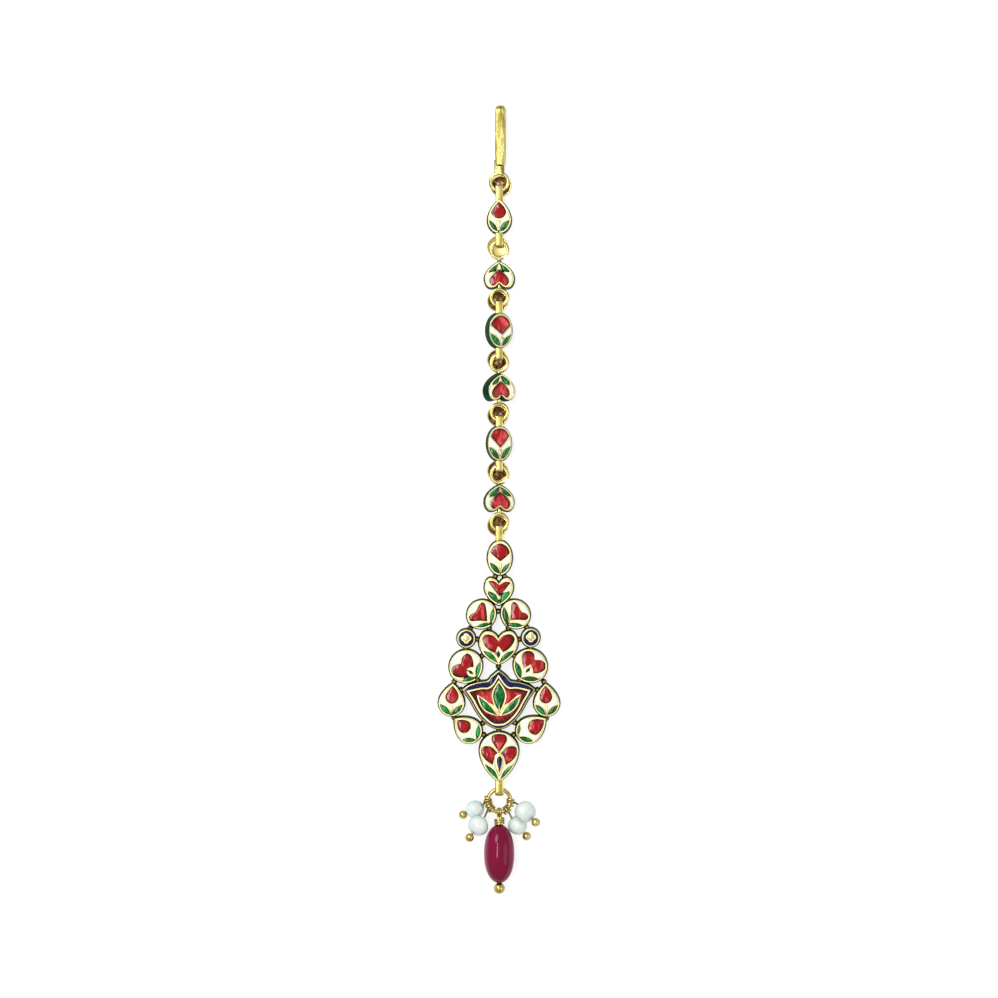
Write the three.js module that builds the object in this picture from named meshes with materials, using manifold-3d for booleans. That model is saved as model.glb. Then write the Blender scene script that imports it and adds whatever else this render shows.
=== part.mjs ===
// A maang tikka, a forehead jewel on a chain of links, laid flat with its enamelled reverse upwards.
// Lengths are in millimetres. X runs to the right, Y from the drops towards the hook, and Z up.
import * as THREE from 'three';
import { mergeVertices } from 'three/addons/utils/BufferGeometryUtils.js';
import Module from 'manifold-3d';

// Closed gold boxes with an enamelled face
const LINK_DEPTH = 2.2;
const PENDANT_DEPTH = 2.6;
const FACE_INSET = 0.1; // how far an enamelled face lies inside the outline given for its box
const FOOT_SPREAD = 0.1; // how far the foot of a box lies outside that outline
const RIM = 0.25; // gold rim around the enamel
const ENAMEL_DEPTH = 0.4;
const CLEARANCE = 0.08; // between an inlay and its recess
const SINK = 0.35; // how far soldered pieces run into each other

// Chain links, from the hook down
const PEAR_WIDTH = 4.5;
const PEAR_LENGTH = 6.45;
const HEART_WIDTH = 5.6;
const HEART_LENGTH = 5.0;
const OVAL_WIDTH = 4.7;
const OVAL_LENGTH = 6.5;

// Rings that carry the links, and the flat straps that hold them
const RING_HOLE_RADIUS = 1.15;
const RING_WIRE = 0.65;
const RING_THICKNESS = 0.5;
const RING_HEIGHT = 1.42; // middle of the ring above the surface
const HOOK_RING_HOLE_RADIUS = 1.25;
const STRAP_WIDTH = 1.35;
const STRAP_THICKNESS = 0.25;
const STRAP_PLAY = 0.12; // above and below what the strap holds
const STRAP_END = 0.42; // from the ring's middle back to the strap's end
const STRAP_REACH = 2.95; // from a strap's link to the middle of the ring that it holds
const TIP_REACH = 1.95; // from a ring's middle to the tip of its heart
const CLEFT_REACH = 2.45; // from a ring's middle to the cleft of its heart
const NECK_WIDTH = 0.9;
const RING_FLAT = 0.45; // bevel of a ring as a share of half its thickness
const STRAP_CORNER = 0.35; // outside of a strap's bend
const STRAP_INNER_CORNER = 0.125;

// Round diamond collets under the rings
const COLLET_RADIUS = 1.9;
const COLLET_WALL = 0.3;
const COLLET_DEPTH = 0.85;
const COLLET_OFFSET = 0.65; // from the ring's middle towards the strap's link
const COLLET_SIDE = -0.3; // how far a collet has slipped to one side of its strap
const DIAMOND_LIFT = 0.1; // the table's height above the surface
const DIAMOND_DEPTH = 0.6;
const TABLE_SHARE = 0.58; // of the girdle's radius
const CROWN_SHARE = 0.3; // of the stone's depth, as are the next
const GIRDLE_SHARE = 0.06;

// Hook
const HOOK_LENGTH = 13.85; // from the middle of its ring to the top of its bend
const HOOK_WIDTH = 1.95;
const HOOK_THICKNESS = 0.4;
const HOOK_RETURN = 9; // how far the bent strip comes back
const HOOK_LIFT = 0.24; // top of the strip above the top of its ring
const HOOK_SIDE = 0.22; // how far the strip lies beside the middle of its ring
const HOOK_NECK = 1.1; // from the ring to the start of the strip
const HOOK_NECK_WIDTH = 1.85;
const HOOK_TAPER = 1.0; // how far the neck runs under the strip

// Pendant cluster, whose layout grid has steps of a 244th of its height and a 122nd of its width
const PENDANT_WIDTH = 22;
const PENDANT_HEIGHT = 43.9;
const GRID_COLUMNS = 122;
const GRID_ROWS = 244;
const CLUSTER_PLAY = 1.08; // stretch of the strap's reach above the cluster
const SOLDER_RADIUS = 0.5;
const SOLDER_INSET = 0.6; // below the enamelled faces and above the foot

// Jump ring and drops
const JUMP_RING_RADIUS = 2.05;
const JUMP_WIRE_RADIUS = 0.35;
const BAIL_REACH = 2.25;
const BAIL_ROOM = 3.1; // from the cluster's tip to the middle of the jump ring
const WRAP_GAP = 0.12;
const WRAP_THICKNESS = 0.36;
const WRAP_WIDTH = 0.7;
const PIN_RADIUS = 0.22;
const PIN_BEND = 0.02; // extra at the bend where a pin enters its bead
const BORE_GAP = 0.08;
const RUBY_WIDTH = 5.5;
const RUBY_LENGTH = 10.6;
const RUBY_BALL_RADIUS = 1.0;
const PEARL_BALL_RADIUS = 0.78;
const COIL_RADIUS = 0.95;
const COIL_LENGTH = 1.0;
const RUBY_FULLNESS = 2.3; // 2 is an ellipse
const PEARL_FULLNESS = 2;
const RUBY_BALL_SEAT = 0.9; // share of the ball's radius from the ruby's end to its middle

// Sides of round pieces, and points to each curve of an outline
const RING_SIDES = 16;
const WIRE_SIDES = 6;
const WRAP_SIDES = 12;
const COLLET_SIDES = 14;
const STONE_SIDES = 8;
const PEARL_SIDES = 10;
const PEARL_ROWS = 8;
const RUBY_SIDES = 14;
const RUBY_ROWS = 10;
const BALL_SIDES = 10;
const BALL_ROWS = 6;
const LINK_OVAL_SIDES = 18;
const CLUSTER_OVAL_SIDES = 20;
const SMALL_ROUND_SIDES = 14;
const SMALL_ROUND_LIMIT = 22; // grid steps of width below which an oval is a small round
const HEART_STEPS = 3;
const PEAR_STEPS = 5;

const GOLD = { color: 0xc9ad5c, roughness: 0.42, metalness: 1 };
const ENAMEL = { color: 0xe9efe8, roughness: 0.2, metalness: 0 };
const DIAMOND = { color: 0xe6ecee, roughness: 0.05, metalness: 0 };
const PEARL = { color: 0xd7e4de, roughness: 0.25, metalness: 0 };
const RUBY = { color: 0x82103a, roughness: 0.12, metalness: 0 };

// How full the curves of an outline are, and how steeply its cleft starts
const ROUNDING = 0.55;
const SHOULDER = 0.62;
const CLEFT_ENTRY = 0.15;

// Outlines of the chain's links as shares of their width and length, with the tip at the origin
const PEAR_FORM = { belly: 0.6, cleft: 0, lobe: 0, blunt: 0.24, rise: 0.12 };
const HEART_FORM = { belly: 0.63, cleft: 0.18, lobe: 0.28, blunt: 0.28, rise: 0.12 };
const BUD_FORM = { belly: 0.5, cleft: 0, lobe: 0, blunt: 0.35, rise: 0.06 };
const DROP_FORM = { belly: 0.62, cleft: 0, lobe: 0, blunt: 0.26, rise: 0.11 };

const PEAR = { form: PEAR_FORM, width: PEAR_WIDTH, length: PEAR_LENGTH, carriesRings: false };
const HEART = { form: HEART_FORM, width: HEART_WIDTH, length: HEART_LENGTH, carriesRings: true };
const OVAL = { form: null, width: OVAL_WIDTH, length: OVAL_LENGTH, carriesRings: false };

// Links in order: tilt turns a loose link about the chain, towards +X, above and below stretch the
// reach to the ring at either end, and slip is the way that the upper collet slips
const LINKS = [
  { name: 'pear', kind: PEAR, tilt: 0, above: 1.0, below: 0.965, slip: -1 },
  { name: 'heart_1', kind: HEART, tilt: 0, above: 1.015, below: 1.0, slip: 1 },
  { name: 'oval_1', kind: OVAL, tilt: 14, above: 0.93, below: 0.89, slip: 1 },
  { name: 'heart_2', kind: HEART, tilt: 25, above: 0.94, below: 1.17, slip: 1 },
  { name: 'oval_2', kind: OVAL, tilt: 5, above: 0.82, below: 0.8, slip: 1 },
  { name: 'heart_3', kind: HEART, tilt: 4, above: 0.87, below: 1.12, slip: 1 },
];

// Boxes of the cluster on its layout grid: x from the middle line, y down from the top. A form's
// place is its tip and turn swings its body anticlockwise from straight up; an oval's is its middle.
const CLUSTER = [
  { name: 'top_oval', form: null, x: 0.5, y: 17.9, width: 26, length: 36, turn: 0 },
  { name: 'top_heart', form: HEART_FORM, x: -0.5, y: 66.4, width: 30.4, length: 29.4, turn: 0 },
  { name: 'left_bud_upper', form: BUD_FORM, x: -7.6, y: 86.3, width: 32, length: 30.6, turn: 41 },
  { name: 'right_bud_upper', form: BUD_FORM, x: 5.8, y: 86.2, width: 32, length: 30.6, turn: -41 },
  { name: 'left_round', form: null, x: -33.1, y: 98.7, width: 19.9, length: 20.2, turn: 0 },
  { name: 'right_round', form: null, x: 31.3, y: 97.8, width: 19.9, length: 20.4, turn: 0 },
  { name: 'centre_heart', form: HEART_FORM, x: -0.9, y: 125.8, width: 40.6, length: 35.6, turn: 0 },
  { name: 'left_bud_lower', form: BUD_FORM, x: -20.6, y: 139, width: 35.8, length: 35, turn: 46 },
  { name: 'right_bud_lower', form: BUD_FORM, x: 18.3, y: 139, width: 36.5, length: 35.5, turn: -44 },
  { name: 'left_pear_upper', form: PEAR_FORM, x: -46, y: 142.4, width: 27.5, length: 34.8, turn: 175 },
  { name: 'right_pear_upper', form: PEAR_FORM, x: 46.2, y: 142.6, width: 27.3, length: 34.8, turn: 183 },
  { name: 'tulip', form: 'tulip', x: -0.5, y: 129, width: 75.5, length: 61, turn: 0 },
  { name: 'left_pear_lower', form: PEAR_FORM, x: -45.5, y: 178, width: 27, length: 33.8, turn: 230 },
  { name: 'right_pear_lower', form: PEAR_FORM, x: 47.2, y: 177.8, width: 27.6, length: 35.8, turn: 126 },
  { name: 'bottom_drop', form: DROP_FORM, x: -0.3, y: 242.8, width: 40.6, length: 51.4, turn: 0 },
];

// Solder between neighbouring boxes, on the layout grid
const SOLDER = [
  { x: -4, y: 36.5 }, { x: 5, y: 36.5 }, { x: -9, y: 60 }, { x: 8.5, y: 60 }, { x: -1, y: 71.5 },
  { x: -10, y: 88.5 }, { x: 9, y: 88.5 }, { x: -29, y: 88.5 }, { x: 27.5, y: 87.5 }, { x: -22, y: 99.5 },
  { x: 20, y: 99.5 }, { x: -33.5, y: 109 }, { x: 31, y: 108 }, { x: -17, y: 116 }, { x: 15, y: 116 },
  { x: -0.8, y: 126.7 }, { x: -21.5, y: 140.5 }, { x: 20.5, y: 140.5 }, { x: -45, y: 142 },
  { x: 44.5, y: 142 },
  { x: -38, y: 150 }, { x: 38, y: 150 }, { x: -45, y: 178 }, { x: 47, y: 178.5 }, { x: -16.5, y: 183.5 },
  { x: 15.5, y: 183 }, { x: -0.6, y: 191.3 }, { x: -15.5, y: 195 }, { x: 14.5, y: 195 },
];

// Right half of the tulip's outline, as shares of its width and length down from its peak
const TULIP_HALF = [
  { x: 0, y: 0 }, { x: 0.11, y: 0.11 }, { x: 0.16, y: 0.18 }, { x: 0.27, y: 0.2 }, { x: 0.4, y: 0.25 },
  { x: 0.5, y: 0.335 }, { x: 0.39, y: 0.53 }, { x: 0.33, y: 0.67 }, { x: 0.26, y: 0.8 },
  { x: 0.17, y: 0.91 }, { x: 0.08, y: 0.98 }, { x: 0, y: 1 },
];

// Pearls around the jump ring: the angle where the wire wraps the ring, the pearl's place right and
// down from the ring's middle as shares of the ring's radius, and the way that its pin points.
// The first of each side lies on the surface, and the second leans on the first.
const PEARL_DROPS = [
  {
    name: 'left_low', angle: 180, radius: 1.7,
    right: -2.13, down: 0.73, pin: [-0.84, -0.42, -0.34], leans: false,
  },
  {
    name: 'left_high', angle: 219, radius: 1.85,
    right: -1.84, down: 2.08, pin: [-0.57, -0.74, 0.36], leans: true,
  },
  {
    name: 'right_low', angle: 310, radius: 1.8,
    right: 1.61, down: 2.12, pin: [0.61, -0.77, -0.2], leans: false,
  },
  {
    name: 'right_high', angle: 354, radius: 1.95,
    right: 2.27, down: 0.84, pin: [0.66, -0.63, 0.4], leans: true,
  },
];

const wasm = await Module();
wasm.setup();

// One closed body with shared vertices and its faces pointing out
function closedBody(source) {
  const bare = source.index ? source.toNonIndexed() : source.clone();
  bare.deleteAttribute('normal');
  bare.deleteAttribute('uv');
  const merged = mergeVertices(bare, 1e-4);
  const place = merged.getAttribute('position');
  const corners = [];
  for (let i = 0; i < merged.index.count; i += 3) {
    const triangle = [0, 1, 2].map((k) => merged.index.getX(i + k));
    if (new Set(triangle).size === 3) corners.push(triangle);
  }
  const [a, b, c] = [new THREE.Vector3(), new THREE.Vector3(), new THREE.Vector3()];
  let volume = 0;
  for (const triangle of corners) {
    a.fromBufferAttribute(place, triangle[0]);
    b.fromBufferAttribute(place, triangle[1]);
    c.fromBufferAttribute(place, triangle[2]);
    volume += a.dot(b.cross(c));
  }
  const faces = volume < 0 ? corners.map(([p, q, r]) => [p, r, q]) : corners;
  merged.setIndex(faces.flat());
  return merged;
}

function toSolid(geometry) {
  const body = closedBody(geometry);
  return new wasm.Manifold(new wasm.Mesh({
    numProp: 3,
    vertProperties: new Float32Array(body.getAttribute('position').array),
    triVerts: new Uint32Array(body.index.array),
  }));
}

function toGeometry(solid) {
  const result = solid.getMesh();
  const geometry = new THREE.BufferGeometry();
  geometry.setAttribute('position', new THREE.BufferAttribute(result.vertProperties, 3));
  geometry.setIndex(new THREE.BufferAttribute(result.triVerts, 1));
  geometry.computeVertexNormals();
  return geometry;
}

function joined(geometries) {
  return geometries.map(toSolid).reduce((whole, piece) => whole.add(piece));
}

// Outline of a heart, or without a cleft of a pear, from its tip at the origin up to its lobes
function petalOutline(form, width, length) {
  const steps = form.cleft ? HEART_STEPS : PEAR_STEPS;
  const side = new THREE.Vector2(width / 2, form.belly * length);
  const top = new THREE.Vector2(form.lobe * width, length);
  const runs = [
    new THREE.CubicBezierCurve(
      new THREE.Vector2(0, 0),
      new THREE.Vector2(form.blunt * width, form.rise * length),
      new THREE.Vector2(side.x, side.y * SHOULDER),
      side,
    ),
    new THREE.CubicBezierCurve(
      side,
      new THREE.Vector2(side.x, side.y + ROUNDING * (top.y - side.y)),
      new THREE.Vector2(top.x + ROUNDING * (side.x - top.x), top.y),
      top,
    ),
  ];
  if (form.cleft > 0) {
    runs.push(new THREE.CubicBezierCurve(
      top,
      new THREE.Vector2(top.x * (1 - ROUNDING), top.y),
      new THREE.Vector2(top.x * CLEFT_ENTRY, length * (1 - form.cleft / 2)),
      new THREE.Vector2(0, length * (1 - form.cleft)),
    ));
  }
  const right = [];
  for (const run of runs) right.push(...run.getPoints(steps).slice(0, -1));
  const end = runs[runs.length - 1].getPoint(1);
  const left = right.slice(1).reverse().map((p) => new THREE.Vector2(-p.x, p.y));
  return [...right, end, ...left];
}

function ovalOutline(width, length, sides) {
  const curve = new THREE.EllipseCurve(0, 0, width / 2, length / 2, 0, 2 * Math.PI);
  return curve.getPoints(sides).slice(0, -1);
}

function tulipOutline(width, length) {
  const right = TULIP_HALF.map((p) => new THREE.Vector2(p.x * width, -p.y * length));
  const left = right.slice(1, -1).reverse().map((p) => new THREE.Vector2(-p.x, p.y));
  return [...right, ...left].reverse();
}

// Moves an anticlockwise outline inwards by the distance, or outwards if it is negative
function insetOutline(outline, distance) {
  const count = outline.length;
  return outline.map((point, i) => {
    const before = point.clone().sub(outline[(i + count - 1) % count]).normalize();
    const after = outline[(i + 1) % count].clone().sub(point).normalize();
    const inward = new THREE.Vector2(-before.y - after.y, before.x + after.x);
    const mitre = Math.max(1 + before.dot(after), 0.5);
    return point.clone().addScaledVector(inward, distance / mitre);
  });
}

// A prism on the outline whose foot follows another outline of as many points
function prism(outline, foot, low, high) {
  const geometry = new THREE.ExtrudeGeometry(new THREE.Shape(outline), {
    depth: high - low,
    bevelEnabled: false,
  });
  const place = geometry.getAttribute('position');
  for (let i = 0; i < place.count; i += 1) {
    if (place.getZ(i) < (high - low) / 2) {
      const corner = outline.findIndex((p) => Math.hypot(p.x - place.getX(i), p.y - place.getY(i)) < 1e-5);
      place.setXY(i, foot[corner].x, foot[corner].y);
    }
  }
  return geometry.translate(0, 0, low);
}

function boxGeometry(outline, depth) {
  return prism(insetOutline(outline, FACE_INSET), insetOutline(outline, -FOOT_SPREAD), 0, depth);
}

function recessGeometry(outline, depth) {
  const cut = insetOutline(outline, FACE_INSET + RIM);
  return prism(cut, cut, depth - ENAMEL_DEPTH, depth + SINK);
}

function inlayGeometry(outline, depth) {
  const edge = insetOutline(outline, FACE_INSET + RIM + CLEARANCE);
  return prism(edge, edge, depth - ENAMEL_DEPTH + CLEARANCE, depth);
}

// A body of revolution about Z from [radius, height] pairs
function turned(profile, sides) {
  const points = profile.map(([radius, height]) => new THREE.Vector2(radius, height));
  return new THREE.LatheGeometry(points, sides).rotateX(Math.PI / 2);
}

function flatRing(holeRadius) {
  const [inner, outer] = [holeRadius, holeRadius + RING_WIRE];
  const half = RING_THICKNESS / 2;
  const edge = RING_FLAT * half;
  const profile = [
    [inner, 0], [inner + edge, -half], [outer - edge, -half], [outer, 0],
    [outer - edge, half], [inner + edge, half], [inner, 0],
  ];
  return turned(profile, RING_SIDES).translate(0, 0, RING_HEIGHT);
}

function bar(width, fromY, toY, low, high) {
  return new THREE.BoxGeometry(width, Math.abs(toY - fromY), high - low)
    .translate(0, (fromY + toY) / 2, (low + high) / 2);
}

// Underside of a strap that leaves the ring's wire its play above and below
const STRAP_FOOT = RING_HEIGHT - RING_THICKNESS / 2 - STRAP_PLAY - STRAP_THICKNESS;

// A closed loop of flat strip that leaves its box at y = 0 in the direction given, over a wire
function strapGeometry(reach, direction, halfWire) {
  const low = RING_HEIGHT - halfWire - STRAP_PLAY;
  const high = RING_HEIGHT + halfWire + STRAP_PLAY;
  const rounded = (x0, x1, y0, y1, radius) => {
    const path = new THREE.Shape();
    path.moveTo(x0, y0);
    path.lineTo(x1 - radius, y0);
    path.absarc(x1 - radius, y0 + radius, radius, -Math.PI / 2, 0, false);
    path.absarc(x1 - radius, y1 - radius, radius, 0, Math.PI / 2, false);
    path.lineTo(x0, y1);
    return path;
  };
  const shape = rounded(-SINK * 2, reach, low - STRAP_THICKNESS, high + STRAP_THICKNESS, STRAP_CORNER);
  shape.holes.push(rounded(STRAP_THICKNESS, reach - STRAP_THICKNESS, low, high, STRAP_INNER_CORNER));
  const geometry = new THREE.ExtrudeGeometry(shape, {
    depth: STRAP_WIDTH,
    bevelEnabled: false,
    curveSegments: 3,
  });
  geometry.translate(0, 0, -STRAP_WIDTH / 2);
  const along = new THREE.Vector3(0, direction, 0);
  const up = new THREE.Vector3(0, 0, 1);
  return geometry.applyMatrix4(new THREE.Matrix4().makeBasis(along, up, along.clone().cross(up)));
}

// Open-backed tube that ends in the underside of the strap
function colletGeometry() {
  const inner = COLLET_RADIUS - COLLET_WALL;
  const top = Math.max(COLLET_DEPTH, STRAP_FOOT + STRAP_THICKNESS / 4);
  const profile = [
    [inner, 0], [COLLET_RADIUS, 0], [COLLET_RADIUS, top], [inner, top], [inner, 0],
  ];
  return turned(profile, COLLET_SIDES);
}

// Round stone with its table downwards, in the room that the collet and strap leave
function diamondGeometry() {
  const girdle = COLLET_RADIUS - COLLET_WALL - CLEARANCE;
  const crown = DIAMOND_LIFT + DIAMOND_DEPTH * CROWN_SHARE;
  const edge = DIAMOND_DEPTH * GIRDLE_SHARE;
  const culet = DIAMOND_LIFT + DIAMOND_DEPTH;
  return turned([
    [0, DIAMOND_LIFT], [girdle * TABLE_SHARE, DIAMOND_LIFT], [girdle, crown],
    [girdle, crown + edge], [0, culet],
  ], STONE_SIDES);
}

const group = new THREE.Group();

function addMesh(parent, name, geometry, look) {
  const mesh = new THREE.Mesh(closedBody(geometry), new THREE.MeshStandardMaterial(look));
  mesh.geometry.computeVertexNormals();
  mesh.name = name;
  parent.add(mesh);
  return mesh;
}

let diamondCount = 0;

// A strap with the collet soldered under it, and the diamond as a mesh of its own
function strapPieces(parent, edgeY, direction, reach, slip) {
  const colletY = edgeY + direction * (reach - COLLET_OFFSET);
  diamondCount += 1;
  const diamond = addMesh(parent, `diamond_${diamondCount}`, diamondGeometry(), DIAMOND);
  diamond.position.set(COLLET_SIDE * slip, colletY, 0);
  return [
    strapGeometry(reach - STRAP_END, direction, RING_THICKNESS / 2).translate(0, edgeY, 0),
    colletGeometry().translate(COLLET_SIDE * slip, colletY, 0),
  ];
}

function linkOutline({ form, width, length }) {
  if (!form) return ovalOutline(width, length, LINK_OVAL_SIDES).map((p) => p.setY(p.y - length / 2));
  return petalOutline(form, width, length).map((p) => new THREE.Vector2(-p.x, -p.y));
}

// A link of the chain hangs down from y = 0: its box, then its rings or its straps
function addLink(link, topY) {
  const place = new THREE.Group();
  place.position.y = topY;
  group.add(place);
  const { form, width, length, carriesRings } = link.kind;
  const outline = linkOutline(link.kind);
  const tilt = THREE.MathUtils.degToRad(link.tilt);
  const halfFoot = width / 2 + FOOT_SPREAD;
  const middle = Math.cos(tilt) * LINK_DEPTH / 2 + Math.sin(tilt) * halfFoot;
  const lie = (geometry) => geometry
    .translate(0, 0, -LINK_DEPTH / 2)
    .rotateY(tilt)
    .translate(0, 0, middle);
  const bottomY = -length * (form ? 1 - form.cleft : 1);
  const pieces = [lie(boxGeometry(outline, LINK_DEPTH))];
  if (carriesRings) {
    const [low, high] = [RING_HEIGHT - RING_THICKNESS / 2, RING_HEIGHT + RING_THICKNESS / 2];
    const inner = RING_HOLE_RADIUS + RING_WIRE / 2;
    const topRing = TIP_REACH * link.above;
    const bottomRing = bottomY - CLEFT_REACH * link.below;
    pieces.push(flatRing(RING_HOLE_RADIUS).translate(0, topRing, 0));
    pieces.push(flatRing(RING_HOLE_RADIUS).translate(0, bottomRing, 0));
    pieces.push(bar(NECK_WIDTH, topRing - inner, -SINK * 2, low, high));
    pieces.push(bar(NECK_WIDTH, bottomRing + inner, bottomY + SINK * 2, low, high));
  } else {
    pieces.push(...strapPieces(place, 0, 1, STRAP_REACH * link.above, link.slip));
    pieces.push(...strapPieces(place, bottomY, -1, STRAP_REACH * link.below, 1));
  }
  const body = joined(pieces).subtract(toSolid(lie(recessGeometry(outline, LINK_DEPTH))));
  addMesh(place, `link_${link.name}`, toGeometry(body), GOLD);
  const inlay = addMesh(place, `enamel_${link.name}`, inlayGeometry(outline, LINK_DEPTH)
    .translate(0, 0, -LINK_DEPTH / 2), ENAMEL);
  inlay.rotation.y = tilt;
  inlay.position.z = middle;
  return topY + bottomY;
}

// Flat strip bent back under itself, with a ring soldered below it
function addHook(ringY) {
  const path = new THREE.Shape();
  const top = RING_HEIGHT + RING_THICKNESS / 2 + HOOK_LIFT;
  const outer = top / 2;
  const bendY = HOOK_LENGTH - outer;
  const startY = HOOK_RING_HOLE_RADIUS + RING_WIRE + HOOK_NECK;
  const lowEnd = HOOK_LENGTH - HOOK_RETURN;
  path.moveTo(startY, top);
  path.lineTo(bendY, top);
  path.absarc(bendY, outer, outer, Math.PI / 2, -Math.PI / 2, true);
  path.lineTo(lowEnd, 0);
  path.lineTo(lowEnd, HOOK_THICKNESS);
  path.lineTo(bendY, HOOK_THICKNESS);
  path.absarc(bendY, outer, outer - HOOK_THICKNESS, -Math.PI / 2, Math.PI / 2, false);
  path.lineTo(startY, top - HOOK_THICKNESS);
  const strip = new THREE.ExtrudeGeometry(path, { depth: HOOK_WIDTH, bevelEnabled: false, curveSegments: 8 });
  strip.translate(0, 0, HOOK_SIDE - HOOK_WIDTH / 2);
  strip.applyMatrix4(new THREE.Matrix4().makeBasis(
    new THREE.Vector3(0, 1, 0),
    new THREE.Vector3(0, 0, 1),
    new THREE.Vector3(1, 0, 0),
  ));
  const half = RING_THICKNESS / 2;
  const neckStart = HOOK_RING_HOLE_RADIUS + RING_WIRE / 2;
  const body = joined([
    strip,
    flatRing(HOOK_RING_HOLE_RADIUS),
    bar(HOOK_NECK_WIDTH, neckStart, startY + HOOK_TAPER, RING_HEIGHT - half, RING_HEIGHT + half),
  ]);
  const hook = addMesh(group, 'hook', toGeometry(body), GOLD);
  hook.position.y = ringY;
}

const columnStep = PENDANT_WIDTH / GRID_COLUMNS;
const rowStep = PENDANT_HEIGHT / GRID_ROWS;

// A cluster box's outline in millimetres, with the cluster's top at y = 0
function clusterOutline(row) {
  let outline;
  if (row.form === 'tulip') outline = tulipOutline(row.width, row.length);
  else if (!row.form) {
    const sides = row.width < SMALL_ROUND_LIMIT ? SMALL_ROUND_SIDES : CLUSTER_OVAL_SIDES;
    outline = ovalOutline(row.width, row.length, sides);
  } else outline = petalOutline(row.form, row.width, row.length);
  const turn = THREE.MathUtils.degToRad(row.turn);
  const middle = new THREE.Vector2(0, 0);
  return outline.map((p) => {
    const turnedPoint = p.clone().rotateAround(middle, turn);
    return new THREE.Vector2((turnedPoint.x + row.x) * columnStep, (turnedPoint.y - row.y) * rowStep);
  });
}

// The soldered cluster with its upper strap and collet and its lower bail, and the inlays
function addPendant(topY) {
  const place = new THREE.Group();
  place.position.y = topY;
  group.add(place);
  const outlines = CLUSTER.map(clusterOutline);
  const pieces = outlines.map((outline) => boxGeometry(outline, PENDANT_DEPTH));
  pieces.push(...strapPieces(place, 0, 1, STRAP_REACH * CLUSTER_PLAY, 1));
  pieces.push(strapGeometry(BAIL_REACH, -1, JUMP_WIRE_RADIUS).translate(0, -PENDANT_HEIGHT, 0));
  for (const { x, y } of SOLDER) {
    const height = PENDANT_DEPTH - 2 * SOLDER_INSET;
    pieces.push(new THREE.CylinderGeometry(SOLDER_RADIUS, SOLDER_RADIUS, height, 6)
      .rotateX(Math.PI / 2)
      .translate(x * columnStep, -y * rowStep, PENDANT_DEPTH / 2));
  }
  let frame = joined(pieces);
  for (const outline of outlines) frame = frame.subtract(toSolid(recessGeometry(outline, PENDANT_DEPTH)));
  addMesh(place, 'pendant_frame', toGeometry(frame), GOLD);
  outlines.forEach((outline, i) => {
    addMesh(place, `enamel_${CLUSTER[i].name}`, inlayGeometry(outline, PENDANT_DEPTH), ENAMEL);
  });
  return topY - PENDANT_HEIGHT;
}

// A round rod between two points
function rod(from, to, radius, sides) {
  const span = to.clone().sub(from);
  const upright = new THREE.Vector3(0, 1, 0);
  const turnTo = new THREE.Quaternion().setFromUnitVectors(upright, span.clone().normalize());
  return new THREE.CylinderGeometry(radius, radius, span.length(), sides)
    .applyQuaternion(turnTo)
    .translate((from.x + to.x) / 2, (from.y + to.y) / 2, (from.z + to.z) / 2);
}

// Close turns of wire around the jump ring at an angle, seen as one short sleeve
function wrapGeometry(angle) {
  const inner = JUMP_WIRE_RADIUS + WRAP_GAP;
  const outer = inner + WRAP_THICKNESS;
  const half = WRAP_WIDTH / 2;
  const profile = [[inner, -half], [outer, -half], [outer, half], [inner, half], [inner, -half]];
  return turned(profile, WRAP_SIDES)
    .rotateX(Math.PI / 2)
    .rotateZ(angle)
    .translate(JUMP_RING_RADIUS * Math.cos(angle), JUMP_RING_RADIUS * Math.sin(angle), 0);
}

// A bead bored along the pin, from [radius, height] pairs of its outside from one mouth to the other
function boredBead(profile, direction, centre, sides) {
  const bore = PIN_RADIUS + BORE_GAP;
  const outside = profile.filter(([radius]) => radius > bore);
  const mouth = outside[0][1];
  const closing = outside[outside.length - 1][1];
  const closed = [[bore, mouth], ...outside, [bore, closing], [bore, mouth]];
  const turnTo = new THREE.Quaternion().setFromUnitVectors(new THREE.Vector3(0, 0, 1), direction);
  return turned(closed, sides).applyQuaternion(turnTo).translate(centre.x, centre.y, centre.z);
}

function roundProfile(halfWidth, halfLength, rows, fullness) {
  const profile = [];
  for (let i = 0; i <= rows; i += 1) {
    const share = Math.cos(Math.PI * i / rows);
    profile.push([halfWidth * Math.sqrt(1 - Math.abs(share) ** fullness), -halfLength * share]);
  }
  return profile;
}

// A head pin: wraps on the jump ring, a rod to the bead, through it, and the ball on its end
function pinGeometry(angle, entry, ball, ballRadius, extra) {
  const start = new THREE.Vector3(Math.cos(angle), Math.sin(angle), 0)
    .multiplyScalar(JUMP_RING_RADIUS + JUMP_WIRE_RADIUS + WRAP_GAP + WRAP_THICKNESS * 0.6);
  const solid = joined([
    wrapGeometry(angle),
    rod(start, entry, PIN_RADIUS, WIRE_SIDES),
    rod(entry, ball, PIN_RADIUS, WIRE_SIDES),
    new THREE.SphereGeometry(PIN_RADIUS + PIN_BEND, WIRE_SIDES, 4).translate(entry.x, entry.y, entry.z),
    new THREE.SphereGeometry(ballRadius, BALL_SIDES, BALL_ROWS).translate(ball.x, ball.y, ball.z),
    ...extra,
  ]);
  return toGeometry(solid);
}

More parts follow.
